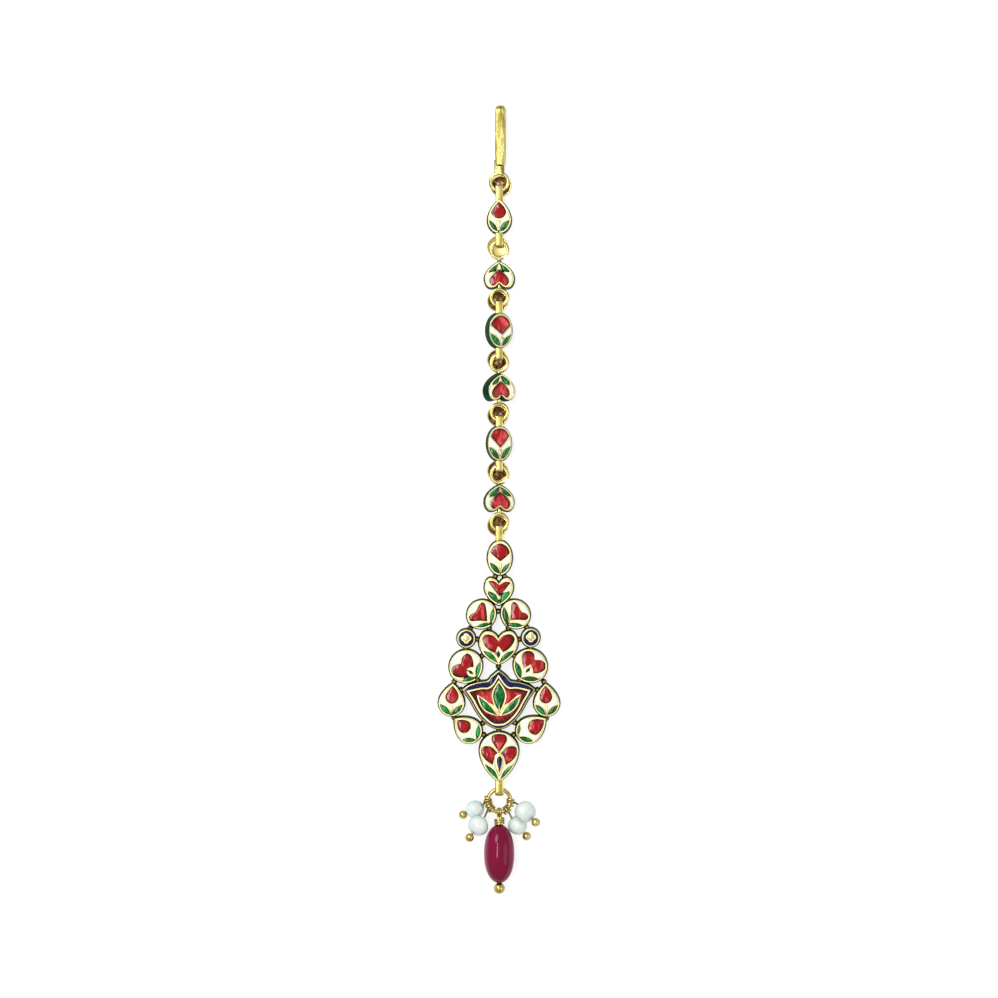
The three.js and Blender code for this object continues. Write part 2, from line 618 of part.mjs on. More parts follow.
function addDrops(middleY) {
  const place = new THREE.Group();
  place.position.set(0, middleY, RING_HEIGHT);
  group.add(place);
  const wire = [];
  for (let i = 0; i <= WIRE_SIDES; i += 1) {
    const turn = 2 * Math.PI * i / WIRE_SIDES;
    wire.push([JUMP_RING_RADIUS + JUMP_WIRE_RADIUS * Math.cos(turn), JUMP_WIRE_RADIUS * Math.sin(turn)]);
  }
  addMesh(place, 'jump_ring', turned(wire, RING_SIDES), GOLD);
  let support = null;
  for (const drop of PEARL_DROPS) {
    const angle = THREE.MathUtils.degToRad(drop.angle);
    const centre = new THREE.Vector3(drop.right, -drop.down, 0).multiplyScalar(JUMP_RING_RADIUS);
    centre.z = drop.radius + CLEARANCE / 4 - RING_HEIGHT;
    if (drop.leans) {
      const apart = Math.hypot(centre.x - support.centre.x, centre.y - support.centre.y);
      const touching = drop.radius + support.radius + CLEARANCE;
      centre.z = support.centre.z + Math.sqrt(Math.max(touching ** 2 - apart ** 2, 0));
    }
    support = { centre, radius: drop.radius };
    const direction = new THREE.Vector3(...drop.pin).normalize();
    const ball = centre.clone().addScaledVector(direction, drop.radius + PEARL_BALL_RADIUS + CLEARANCE);
    const entry = centre.clone().addScaledVector(direction, -drop.radius - CLEARANCE);
    const pearlProfile = roundProfile(drop.radius, drop.radius, PEARL_ROWS, PEARL_FULLNESS);
    addMesh(place, `pearl_${drop.name}`, boredBead(pearlProfile, direction, centre, PEARL_SIDES), PEARL);
    addMesh(place, `pin_${drop.name}`, pinGeometry(angle, entry, ball, PEARL_BALL_RADIUS, []), GOLD);
  }
  const direction = new THREE.Vector3(0, -1, 0);
  const rubyTop = new THREE.Vector3(0, -JUMP_RING_RADIUS * 2, RUBY_WIDTH / 2 - RING_HEIGHT);
  const centre = rubyTop.clone().addScaledVector(direction, RUBY_LENGTH / 2);
  const ball = centre.clone().addScaledVector(direction, RUBY_LENGTH / 2 + RUBY_BALL_RADIUS * RUBY_BALL_SEAT);
  const entry = rubyTop.clone().addScaledVector(direction, -COIL_LENGTH - CLEARANCE);
  const coilEnd = rubyTop.clone().addScaledVector(direction, -CLEARANCE);
  const rubyProfile = roundProfile(RUBY_WIDTH / 2, RUBY_LENGTH / 2, RUBY_ROWS, RUBY_FULLNESS);
  addMesh(place, 'ruby_bead', boredBead(rubyProfile, direction, centre, RUBY_SIDES), RUBY);
  addMesh(place, 'pin_ruby', pinGeometry(-Math.PI / 2, entry, ball, RUBY_BALL_RADIUS,
    [rod(entry, coilEnd, COIL_RADIUS, BALL_SIDES)]), GOLD);
}

// The hook's ring starts the chain, and each link is placed from the one before it
addHook(0);
let ringY = 0;
for (const link of LINKS) {
  const [over, under] = link.kind.carriesRings ? [TIP_REACH, CLEFT_REACH] : [STRAP_REACH, STRAP_REACH];
  const topY = ringY - over * link.above;
  ringY = addLink(link, topY) - under * link.below;
}
const clusterTip = addPendant(ringY - STRAP_REACH * CLUSTER_PLAY);
addDrops(clusterTip - BAIL_ROOM);

// The part stands on z = 0 with the middle of its box over the origin
const bounds = new THREE.Box3().setFromObject(group);
group.position.set(-(bounds.min.x + bounds.max.x) / 2, -(bounds.min.y + bounds.max.y) / 2, -bounds.min.z);
group.updateMatrixWorld(true);

export default group;
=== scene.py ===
import math
import random

import bmesh
import bpy
import numpy as np
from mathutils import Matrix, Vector


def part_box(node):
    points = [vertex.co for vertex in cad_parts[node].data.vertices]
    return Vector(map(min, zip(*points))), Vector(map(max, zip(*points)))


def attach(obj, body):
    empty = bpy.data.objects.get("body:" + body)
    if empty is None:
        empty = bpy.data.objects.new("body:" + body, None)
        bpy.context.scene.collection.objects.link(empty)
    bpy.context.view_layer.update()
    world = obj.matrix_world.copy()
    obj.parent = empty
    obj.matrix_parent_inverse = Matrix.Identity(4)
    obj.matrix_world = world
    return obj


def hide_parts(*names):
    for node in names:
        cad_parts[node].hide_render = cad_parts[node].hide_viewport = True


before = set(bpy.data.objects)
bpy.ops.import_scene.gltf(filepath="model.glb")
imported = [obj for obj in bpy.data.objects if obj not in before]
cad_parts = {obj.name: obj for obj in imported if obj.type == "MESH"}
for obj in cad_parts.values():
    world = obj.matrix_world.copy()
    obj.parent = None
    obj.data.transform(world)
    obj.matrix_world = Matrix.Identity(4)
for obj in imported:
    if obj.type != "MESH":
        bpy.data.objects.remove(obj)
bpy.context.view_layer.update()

# All lengths of the jewel are in millimetres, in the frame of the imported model
MM = 0.001
TINY = 1e-12

# A hair's breadth, which keeps neighbouring surfaces out of one plane
HAIR = 0.01

# Closed gold boxes with an enamelled face
LINK_DEPTH = 2.2
PENDANT_DEPTH = 2.6
FACE_INSET = 0.1
FOOT_SPREAD = 0.1
RIM = 0.25
TULIP_RIM = 0.17
ENAMEL_DEPTH = 0.4
LIP = 0.05
WALL_LOW = 0.16
WALL_DROP = 0.1
WALL_GROOVE = 0.06
WALL_LAP = 0.1

# Enamel cells and the gold lines round them
GROUND_DROP = 0.1
GROUND_SLOPE = 0.25
BORDER = 0.06
CELL_SINK = 0.1
LINE = 0.2
LEVEL_RISE = 0.06
FLAT_SWELL = 0.3
NAVY_BAND = 0.54
LEAF_FULLNESS = 1.75
LEAF_STEPS = 10
PETAL_ROUNDING = 0.55
PETAL_SHOULDER = 0.62
QUATREFOIL_STEPS = 40
OVAL_STEPS = 64
LEAF_REACH = 0.14
LEAF_BOW = 0.06
LEAF_POINT = 0.95

# Limits for outlines that are moved inwards
MITRE_LIMIT = 0.5
KEPT_SHARE = 0.97

# Chain
RING_HOLE_RADIUS = 1.15
HOOK_RING_HOLE_RADIUS = 1.25
RING_WIRE = 0.65
RING_THICKNESS = 0.5
RING_HEIGHT = 1.42
RING_SOFTNESS = 0.8
RING_SIDES = 12
RING_STEPS = 48
OPEN_RING_STEPS = 44
STRAP_WIDTH = 1.35
STRAP_THICKNESS = 0.25
STRAP_PLAY = 0.12
STRAP_END = 0.42
STRAP_REACH = 2.95
STRAP_ROOT = 0.7
STRAP_BEND = 0.9
TONGUE_LENGTH = 0.55
TONGUE_TAPER = 0.4
TIP_REACH = 1.95
CLEFT_REACH = 2.45
NECK_WIDTH = 0.9
NECK_OVERLAP = 0.25
NECK_SOLDER = (0.36, 0.3, 0.34)
COLLET_RADIUS = 1.9
COLLET_WALL = 0.3
COLLET_DEPTH = 0.85
COLLET_OFFSET = 0.65
COLLET_SIDE = -0.3
COLLET_LIP = 0.25
CLOSED_COLLET = 2
DIAMOND_LIFT = 0.1
DIAMOND_DEPTH = 0.6
DIAMOND_PLAY = 0.08
DIAMOND_CROWN = 0.3
# Facets beyond the first share of the girdle keep the second share of their painted glint, a painted shade
OUTER_FACETS = 0.6
OUTER_SHADE = 0.5

# Hook
HOOK_LENGTH = 13.85
HOOK_WIDTH = 1.95
HOOK_THICKNESS = 0.4
HOOK_RETURN = 9
HOOK_NECK = 1.1
HOOK_TAPER = 1.0
HOOK_SIDE = 0.22
HOOK_END_TAPER = 0.3
HOOK_ROOT_TAPER = 0.16
HOOK_SOLDER = (0.7, 0.25, 0.2)

# Pendant cluster and its layout grid
PENDANT_WIDTH = 22
PENDANT_HEIGHT = 43.9
GRID_COLUMNS = 122
GRID_ROWS = 244
CLUSTER_PLAY = 1.08
SOLDER_RADIUS = 0.55
SOLDER_HEIGHT = 0.36

# Jump ring and drops
JUMP_RING_RADIUS = 2.05
JUMP_WIRE_RADIUS = 0.35
BAIL_REACH = 2.25
BAIL_WIDTH = 1.5
BAIL_ROOM = 3.1
WIRE_RADIUS = 0.19
WIRE_SIDES = 10
WIRE_END = 0.4
WIRE_END_SIZE = 0.5
PATH_STEPS = 6
WRAP_PITCH = 0.44
WRAP_STEPS = 24
WRAP_RADIUS = 0.6
WRAP_TURNS = 3
CLEARANCE = 0.08
RUBY_WIDTH = 5.5
RUBY_LENGTH = 10.6
RUBY_BALL_RADIUS = 1.0
PEARL_BALL_RADIUS = 0.78
COIL_RADIUS = 0.78
COIL_LENGTH = 1.0
COIL_SINK = 0.15
COIL_TURNS = 3
COIL_STEPS = 18
FLUTE_DEPTH = 0.02
PEARL_FULLNESS = 0.985
PEARL_DIMPLE = 0.08
PEARL_WAVE = 0.02
PEARL_RIPPLE = 0.014

# Materials, whose scales count the turns of a pattern in a metre
# Share of the dull gold that the painted shade on sideways gold flanks keeps
FLANK_SHADE = 0.5
PATCH_SCALE = 700
GRAIN_SCALE = 2600
STREAK_SCALE = 900
STREAK_STRETCH = (1, 0.45, 1)
OFF = (0, 0, 0, 1)
ON = (1, 1, 1, 1)

# Floor and camera, in metres apart from the lens and its sensor
FLOOR_SIZE = 1.6
VIEW_WIDTH = 0.1796
LENS = 120
SENSOR = 36
FOCUS_HEIGHT = 0.002
SKY_STRENGTH = 0.5

# The enamel cells below are placed on a grid of steps right and down, whose step and middle are these
STEP = 0.18
GRID_X = 500
GRID_Y = 499.25
PENDANT_GRID_Y = 540.3

PEAR_FORM = {"belly": 0.6, "cleft": 0, "lobe": 0, "blunt": 0.24, "rise": 0.12}
HEART_FORM = {"belly": 0.63, "cleft": 0.18, "lobe": 0.28, "blunt": 0.28, "rise": 0.12}
CELL_HEART_FORM = {"belly": 0.7, "cleft": 0.2, "lobe": 0.28, "blunt": 0.16, "rise": 0.14}
BUD_FORM = {"belly": 0.5, "cleft": 0, "lobe": 0, "blunt": 0.35, "rise": 0.06}
DROP_FORM = {"belly": 0.62, "cleft": 0, "lobe": 0, "blunt": 0.26, "rise": 0.11}

PEAR = {"form": PEAR_FORM, "width": 4.5, "length": 6.45, "rings": False}
HEART = {"form": HEART_FORM, "width": 5.6, "length": 5.0, "rings": True}
OVAL = {"form": None, "width": 4.7, "length": 6.5, "rings": False}

# Name, kind, tilt in degrees, the stretch of the reach to the ring above and below, and the way
# that the upper collet slips
LINKS = [
    ("pear", PEAR, 0, 1.0, 0.965, -1),
    ("heart_1", HEART, 0, 1.015, 1.0, 1),
    ("oval_1", OVAL, 14, 0.93, 0.89, 1),
    ("heart_2", HEART, 25, 0.94, 1.17, 1),
    ("oval_2", OVAL, 5, 0.82, 0.8, 1),
    ("heart_3", HEART, 4, 0.87, 1.12, 1),
]

# Middle and width in degrees of the opening in the upper ring
OPEN_RINGS = {"heart_1": (-48, 30), "heart_3": (-40, 30)}

# Right half of a strip's section, as shares of its half width and half thickness, and all of it
STRIP_RIGHT = [(0.45, -1), (0.86, -0.8), (1, -0.3), (1, 0.2), (0.86, 0.65), (0.45, 1)]
STRIP_LEFT = [(-x, out) for x, out in STRIP_RIGHT]
STRIP_SECTION = STRIP_LEFT[:1] + STRIP_RIGHT + STRIP_LEFT[:0:-1]

# Name, form, and on the layout grid x, y down, width, length and turn
CLUSTER = [
    ("top_oval", None, 0.5, 17.9, 26, 36, 0),
    ("top_heart", HEART_FORM, -0.5, 66.4, 30.4, 29.4, 0),
    ("left_bud_upper", BUD_FORM, -7.6, 86.3, 32, 30.6, 41),
    ("right_bud_upper", BUD_FORM, 5.8, 86.2, 32, 30.6, -41),
    ("left_round", None, -33.1, 98.7, 19.9, 20.2, 0),
    ("right_round", None, 31.3, 97.8, 19.9, 20.4, 0),
    ("centre_heart", HEART_FORM, -0.9, 125.8, 40.6, 35.6, 0),
    ("left_bud_lower", BUD_FORM, -20.6, 139, 35.8, 35, 46),
    ("right_bud_lower", BUD_FORM, 18.3, 139, 36.5, 35.5, -44),
    ("left_pear_upper", PEAR_FORM, -46, 142.4, 27.5, 34.8, 175),
    ("right_pear_upper", PEAR_FORM, 46.2, 142.6, 27.3, 34.8, 183),
    ("tulip", "tulip", -0.5, 129, 75.5, 61, 0),
    ("left_pear_lower", PEAR_FORM, -45.5, 178, 27, 33.8, 230),
    ("right_pear_lower", PEAR_FORM, 47.2, 177.8, 27.6, 35.8, 126),
    ("bottom_drop", DROP_FORM, -0.3, 242.8, 40.6, 51.4, 0),
]

# Solder between neighbouring boxes, on the layout grid
SOLDER = [
    (-4, 36.5), (5, 36.5), (-9, 60), (8.5, 60), (-1, 71.5), (-10, 88.5), (9, 88.5), (-29, 88.5),
    (27.5, 87.5), (-22, 99.5), (20, 99.5), (-33.5, 109), (31, 108), (-17, 116), (15, 116),
    (-0.8, 126.7), (-21.5, 140.5), (20.5, 140.5), (-45, 142), (44.5, 142), (-38, 150), (38, 150),
    (-45, 178), (47, 178.5), (-16.5, 183.5), (15.5, 183), (-0.6, 191.3), (-15.5, 195), (14.5, 195),
]

# Right half of the tulip as shares of its width and length, with C at a corner
C = True
TULIP_HALF = [
    (0, 0, C), (0.11, 0.11), (0.16, 0.18), (0.27, 0.2), (0.4, 0.25), (0.5, 0.335, C),
    (0.39, 0.53), (0.33, 0.67), (0.26, 0.8), (0.17, 0.91), (0.08, 0.98), (0, 1),
]

# Name, angle of the wraps, radius, the pearl's place right and down, the pin's way, and if it leans
PEARL_DROPS = [
    ("left_low", 180, 1.7, -2.13, 0.73, (-0.84, -0.42, -0.34), False),
    ("left_high", 219, 1.85, -1.84, 2.08, (-0.57, -0.74, 0.36), True),
    ("right_low", 310, 1.8, 1.61, 2.12, (0.61, -0.77, -0.2), False),
    ("right_high", 354, 1.95, 2.27, 0.84, (0.66, -0.63, 0.4), True),
]

# Share of the outline, rise above its gold line and painted shade (0 darkest), from the edge of a cell to its
# middle
DOME = [(1, -0.01, 0.0), (0.93, 0.015, 0.1), (0.8, 0.05, 0.4), (0.6, 0.085, 0.75), (0.36, 0.11, 1),
        (0.1, 0.12, 1)]

# Stones: the count of corners in a row, its share of the girdle's radius, its turn as a share of
# the space between two corners, and its height as a share of the crown
DIAMOND_ROWS = [
    (8, 0.56, 0, 0), (8, 0.82, 0.5, 0.55), (16, 1, 0, 1), (16, 1, 0, 1.2), (8, 0.56, 0, 2.35),
]

# Enamel cells of each face on the grid. A leaf runs between two points, with its width, and a stem
# between two points, with its width at either end; the rest are outlines with C at a corner.
FACES = {
    "pear": [
        ("leaf", (487.8, 221), (497.6, 231), 5), ("leaf", (509.7, 221.5), (500.8, 231.2), 5),
        ("stem", (499.3, 221), (499.3, 229), 6, 2),
        ("red", (499.2, 201.5, C), (504.5, 206.5), (507.2, 212.5), (504.5, 217.5), (499.8, 219.3),
         (494.5, 217.5), (491.3, 212.3), (494.5, 206)),
    ],
    "heart_1": [
        ("leaf", (498.4, 263.6), (490, 272.2), 5), ("leaf", (501.4, 264.2), (509.4, 271.9), 5),
        ("heart", (499.8, 269), 20.5, 17.6),
    ],
    "oval_1": [
        ("leaf", (491.6, 335.5), (500.4, 345.8), 5), ("leaf", (512.9, 336), (503.4, 345.8), 5),
        ("stem", (503, 337), (502.3, 345), 4, 1.5),
        ("red", (491, 325, C), (495, 319), (501.5, 315.8), (508, 318.5), (512.3, 325, C),
         (508, 330), (503.2, 335.5, C), (497, 330.5)),
    ],
    "heart_2": [
        ("leaf", (499.6, 376.6), (493.8, 384.8), 4.5), ("leaf", (501.9, 376.6), (509.6, 384.6), 4.5),
        ("heart", (501.5, 381.3), 20, 17.5),
    ],
    "oval_2": [
        ("leaf", (489.3, 448.2), (499.2, 458.6), 5), ("leaf", (511.8, 447.5), (502.7, 458), 5),
        ("stem", (501, 449.5), (501, 457), 4, 1.5),
        ("red", (490.1, 435.6, C), (494.5, 430.5), (500.7, 428.4), (506.8, 430.5), (510.7, 435.6, C),
         (506.5, 442), (501.2, 448.3, C), (495.5, 442)),
    ],
    "heart_3": [
        ("leaf", (499.8, 487.2), (491.6, 496.2), 5), ("leaf", (502.4, 487.2), (510.8, 495.8), 5),
        ("heart", (501, 491.5), 20.5, 18),
    ],
    "top_oval": [
        ("leaf", (490.7, 564), (499.8, 574), 5), ("leaf", (511.5, 564), (502.6, 574), 5),
        ("stem", (501.1, 563), (501.1, 572.5), 4, 1.5),
        ("red", (490, 552.2, C), (494.5, 546.5), (501.1, 543.5), (507.5, 546.5), (512.2, 552.2, C),
         (507, 557.5), (501.1, 562.2, C), (495.5, 557.5)),
    ],
    "top_heart": [
        ("leaf", (489.6, 592.6), (498.2, 601.8), 5), ("leaf", (509.2, 592.6), (501.4, 601.8), 5),
        ("green", (499.7, 600.5, C), (500.9, 603.5), (499.7, 606.5, C), (498.5, 603.5)),
        ("red", (488.5, 581.5, C), (494, 581.2), (500.3, 585, C), (506.5, 582), (512, 582.8, C),
         (507, 589), (500, 597, C), (494, 589.5)),
    ],
    "left_bud_upper": [
        ("leaf", (496.4, 607), (492, 623.4), 5.2), ("leaf", (476.6, 628.6), (490.6, 624.6), 4.8),
        ("red", (488.4, 621.8, C), (487.6, 612), (486.2, 604.6), (483.2, 602.2), (479.8, 605), (477.8, 609.6),
         (475.3, 613, C), (471, 615), (469, 618.6), (472, 621.8), (480, 621.4)),
    ],
    "right_bud_upper": [
        ("leaf", (503.2, 607), (508.2, 623.4), 5.2), ("leaf", (524.4, 627.6), (509.6, 624.6), 4.8),
        ("red", (510.8, 621, C), (511.2, 611), (512.2, 603.8), (515, 602), (518.3, 604.6), (520.4, 609.4),
         (522.6, 612.4, C), (527, 614), (529.4, 617.2), (526.6, 620.6), (518, 620.4)),
    ],
    "left_round": [("navy ground",), ("quatrefoil", (467, 638.7), 4.1)],
    "right_round": [("navy ground",), ("quatrefoil", (531.5, 637.5), 4.1)],
    "centre_heart": [
        ("leaf", (484.6, 652.4), (497.2, 663.2), 6), ("leaf", (513.8, 652), (501.2, 663.2), 6),
        ("red", (499, 641, C), (494, 636), (487, 634.5), (482.3, 638.3), (484.5, 645.5), (490, 651),
         (495.8, 653.8, C), (497, 649.5), (499.2, 646.8, C), (501.5, 649.5), (503.8, 653, C), (509, 650),
         (514, 644.5), (515.8, 638.5), (511.5, 634.3), (504, 635.8)),
        ("navy", (499, 650.5, C), (501.2, 654.5), (499, 658.8, C), (496.8, 654.5)),
    ],
    "left_bud_lower": [
        ("leaf", (482.6, 662), (478, 677.4), 6), ("leaf", (462.6, 682.8), (476.4, 678.6), 5.4),
        ("red", (461.5, 664, C), (463, 657.5), (467.5, 653.2), (472, 655.5), (474.2, 661.5),
         (474.7, 667.5, C), (470.5, 668), (467.3, 669.5, C), (467.8, 673), (469.5, 676.5, C),
         (464, 678.2), (457, 677.5), (452, 673.5), (452.5, 668), (456.5, 665)),
        ("navy", (468.2, 670.4, C), (472, 671), (474.6, 674.6, C), (470.8, 674)),
    ],
    "right_bud_lower": [
        ("leaf", (514.8, 662.4), (521, 677), 6), ("leaf", (540.8, 681.4), (523, 678.8), 5.6),
        ("red", (535.5, 660, C), (534.8, 654), (531, 651), (525.5, 651), (522, 655.5), (522.5, 663),
         (524.5, 669, C), (528, 666.5), (531.5, 664.8, C), (533, 669), (534, 674, C), (540, 673.5),
         (545.5, 670.5), (547.3, 665), (542.5, 660.8)),
        ("navy", (531, 667.4, C), (530.2, 671.2), (526.2, 673.4, C), (527, 669.8)),
    ],
    "left_pear_upper": [
        ("leaf", (441.6, 705.4), (450.6, 715.4), 5), ("leaf", (462.8, 706), (453, 715.6), 5),
        ("stem", (452.3, 706.5), (451.8, 714.5), 4, 1.5),
        ("red", (453.5, 685.5, C), (457.5, 690.5), (459.8, 696.5), (457.5, 702), (452.7, 704.3),
         (447.8, 702), (446, 696.5), (449.3, 690.5)),
    ],
    "right_pear_upper": [
        ("leaf", (537, 706), (545.4, 716), 5), ("leaf", (558, 706), (548.4, 716.4), 5),
        ("stem", (546.9, 706), (546.9, 714.8), 4, 1.5),
        ("red", (546, 685.5, C), (550.5, 690.5), (553, 697), (551, 702), (546.4, 704),
         (541.8, 702), (540, 697), (542.2, 690.5)),
    ],
    "tulip": [
        ("navy ground",),
        ("red flat", (499.2, 677, C), (494.2, 685), (489, 688.8), (481, 689.2), (468.6, 692, C), (474.2, 703),
         (479, 712), (485, 719.6), (492, 723.8), (499.3, 725), (506.6, 723.8), (513.6, 719.6), (519.6, 711.8),
         (524.2, 703), (529.6, 691, C), (518, 688.5), (510, 688.5), (504.6, 684.6)),
        ("cream 1 flat", (482, 699.6, C), (486, 706.8), (491, 712.6), (499.4, 715.8), (507.6, 712.6),
         (513, 706.8), (517, 699.6, C), (511, 704), (506.8, 709, C), (499.4, 711.4), (492.2, 709, C),
         (488, 704)),
        ("green 2", (499.6, 682.4, C), (504.2, 689.5), (506, 696.5), (503.8, 705), (500, 712.6, C),
         (495.8, 705), (493.6, 696.5), (495.2, 689.5)),
        ("leaf 2", (481, 698.4), (495.6, 713.2), 3.7), ("leaf 2", (518.4, 698), (503.8, 713.2), 3.7),
        ("stem 4", (499.8, 704.5), (499.9, 713), 0.6, 2.6),
    ],
    "left_pear_lower": [
        ("leaf", (480.4, 725.6), (478.6, 740), 5), ("leaf", (463.8, 740.6), (477, 741.4), 4.8),
        ("red", (457.5, 720.3, C), (464, 719.8), (470.3, 722), (471.8, 727.5), (468.5, 732.5),
         (462.5, 733.2), (458.6, 728.5)),
    ],
    "right_pear_lower": [
        ("leaf", (518.8, 723.4), (517, 736), 5), ("leaf", (532, 741), (518.4, 738.6), 4.8),
        ("red", (545, 720, C), (537, 719), (530.5, 721.5), (528.3, 727.5), (531, 733.5),
         (537, 735.3), (542, 730.5), (544.5, 725)),
    ],
    "bottom_drop": [
        ("leaf", (485.8, 766), (498.2, 781), 6.4), ("leaf", (514.4, 766), (502, 781), 6.4),
        ("red", (500, 752.8, C), (495, 746), (492, 740), (493.6, 735), (500, 732.8), (506.4, 735),
         (508, 740), (505, 746)),
        ("red", (498.8, 753.4, C), (493, 747.5), (486, 746), (481.6, 749.4), (483, 756), (488, 762),
         (493.6, 765.4, C), (495.5, 758)),
        ("red", (501.2, 753.4, C), (507, 747.5), (514, 746), (518.4, 749.4), (517, 756), (512, 762),
         (506.4, 765.4, C), (504.5, 758)),
        ("cream 1", (500, 753.4), (504.4, 756.6), (504.9, 763), (503.2, 770.5), (500, 777, C),
         (496.8, 770.5), (495.1, 763), (495.6, 756.6)),
        ("navy 2", (500, 756), (502.8, 758.4), (502.9, 763.4), (501.5, 769), (500, 773.6, C),
         (498.5, 769), (497.1, 763.4), (497.2, 758.4)),
    ],
}


# Materials

def tone(red, green, blue):
    """A display colour from 0 to 255 as the linear colour of a shader."""
    shares = [value / 255 for value in (red, green, blue)]
    return tuple(s / 12.92 if s <= 0.04045 else ((s + 0.055) / 1.055) ** 2.4 for s in shares) + (1.0,)


def principled(name, roughness, **sockets):
    look = bpy.data.materials.new(name)
    look.use_nodes = True
    shader = look.node_tree.nodes["Principled BSDF"]
    shader.inputs["Roughness"].default_value = roughness
    for label, value in sockets.items():
        shader.inputs[label.replace("_", " ")].default_value = value
    return look, shader


def join(look, source, socket):
    look.node_tree.links.new(source, socket)


def node(look, kind, **inputs):
    made = look.node_tree.nodes.new(kind)
    for label, value in inputs.items():
        made.inputs[label.replace("_", " ")].default_value = value
    return made


def noise(look, scale, detail, roughness=0.5, distortion=0.0, stretch=(1, 1, 1)):
    place = node(look, "ShaderNodeTexCoord")
    spread = node(look, "ShaderNodeMapping", Scale=stretch)
    made = node(look, "ShaderNodeTexNoise", Scale=scale, Detail=detail, Roughness=roughness,
                Distortion=distortion)
    join(look, place.outputs["Object"], spread.inputs["Vector"])
    join(look, spread.outputs["Vector"], made.inputs["Vector"])
    return made.outputs["Fac"]


def ramp(look, source, stops):
    made = node(look, "ShaderNodeValToRGB")
    colours = made.color_ramp
    while len(colours.elements) < len(stops):
        colours.elements.new(0.5)
    for element, (position, colour) in zip(colours.elements, stops):
        element.position = position
        element.color = colour
    join(look, source, made.inputs["Fac"])
    return made.outputs["Color"]


def mix(look, share, first, second):
    made = look.node_tree.nodes.new("ShaderNodeMix")
    made.data_type = "RGBA"
    for socket, source in ((made.inputs[0], share), (made.inputs[6], first), (made.inputs[7], second)):
        if isinstance(source, bpy.types.NodeSocket):
            join(look, source, socket)
        else:
            socket.default_value = source
    return made.outputs[2]


def bump(look, shader, source, height, strength):
    made = node(look, "ShaderNodeBump", Strength=strength, Distance=height * MM)
    join(look, source, made.inputs["Height"])
    join(look, made.outputs["Normal"], shader.inputs["Normal"])


def shade_of(look):
    """The painted shade that each vertex or facet carries, from 0 at the edge of a cell to 1 in its middle;
    on stones a random brightness for each facet, a painted glint.
    """
    made = look.node_tree.nodes.new("ShaderNodeAttribute")
    made.attribute_name = "shade"
    return made.outputs["Fac"]


def flatness(look, low, high):
    """Runs from 0 on surfaces that face sideways to 1 on those that face up or down."""
    way = node(look, "ShaderNodeNewGeometry")
    parts = node(look, "ShaderNodeSeparateXYZ")
    size = node(look, "ShaderNodeMath")
    size.operation = "ABSOLUTE"
    join(look, way.outputs["Normal"], parts.inputs["Vector"])
    join(look, parts.outputs["Z"], size.inputs[0])
    return ramp(look, size.outputs[0], [(low, OFF), (high, ON)])


def gold(name, bright, dull, roughness, waves, stretch=(1, 1, 1)):
    """Gold with painted shade, deeper on the flanks that face sideways, standing in for the dark neighbours
    that polished metal reflects there.
    """
    look, shader = principled(name, roughness, Metallic=1.0)
    bright, dull = tone(*bright), tone(*dull)
    patches = ramp(look, noise(look, PATCH_SCALE, 4, 0.6, 0.0, stretch), [(0.38, dull), (0.62, bright)])
    # Flanks that face sideways take a painted shade, a darker copy of the dull gold
    painted_flank_shade = tuple(value * FLANK_SHADE for value in dull[:3]) + (1,)
    with_painted_shade = mix(look, flatness(look, 0.2, 0.85), painted_flank_shade, patches)
    join(look, with_painted_shade, shader.inputs["Base Color"])
    bump(look, shader, noise(look, GRAIN_SCALE, 3, 0.6, 0.0, stretch), waves, 0.6)
    return look


def enamel(name, edge, middle, painted_highlight, roughness=0.12, gloss=0.42):
    """Enamel with painted highlights in soft streaks, and painted shade that darkens it along the edge of its
    cell.
    """
    look, shader = principled(name, roughness, Specular_IOR_Level=gloss)
    edge, middle, painted_highlight = tone(*edge), tone(*middle), tone(*painted_highlight)
    # Painted shade: the edge colour darkens the enamel towards the edge of its cell
    depth = ramp(look, shade_of(look), [(0.05, edge), (0.75, middle)])
    # Painted highlights: lighter streaks laid by noise
    highlight_noise = noise(look, STREAK_SCALE, 2, 0.55, 0.8, STREAK_STRETCH)
    light = ramp(look, highlight_noise, [(0.48, OFF), (0.68, (0.9, 0.9, 0.9, 1))])
    with_painted_highlights = mix(look, light, depth, painted_highlight)
    # Near the edge the painted shade covers the painted highlights
    with_painted_shade = mix(look, ramp(look, shade_of(look), [(0.1, ON), (0.6, OFF)]), with_painted_highlights, edge)
    join(look, with_painted_shade, shader.inputs["Base Color"])
    bump(look, shader, noise(look, STREAK_SCALE, 2, 0.5, 0.5, STREAK_STRETCH), 0.1, 0.7)
    return look


DULL_GOLD = gold("dull_gold", (242, 228, 150), (210, 188, 106), 0.26, 0.004)
PALE_GOLD = gold("pale_gold", (250, 240, 188), (232, 214, 146), 0.34, 0.006)
LINE_GOLD = gold("line_gold", (252, 244, 190), (238, 222, 150), 0.36, 0.004)
BRUSHED_GOLD = gold("brushed_gold", (236, 226, 146), (150, 134, 62), 0.3, 0.12, (2.0, 0.16, 1))
WIRE_GOLD = gold("wire_gold", (240, 220, 138), (190, 162, 84), 0.24, 0.006)
SOLDER_GOLD = gold("solder_gold", (150, 136, 70), (90, 78, 34), 0.4, 0.05)
# Each enamel's first colour is its painted shade at a cell's edge, the second its own colour, the third its
# painted highlight
WHITE = enamel("white_enamel", (222, 224, 202), (253, 253, 248), (240, 246, 240))
RED = enamel("red_enamel", (44, 0, 6), (166, 0, 8), (244, 92, 92))
GREEN = enamel("green_enamel", (0, 34, 14), (0, 92, 32), (40, 176, 84))
NAVY = enamel("navy_enamel", (2, 4, 22), (4, 12, 62), (22, 38, 110))
WALL = enamel("wall_enamel", (0, 30, 20), (0, 50, 34), (4, 82, 62), 0.4, 0.02)


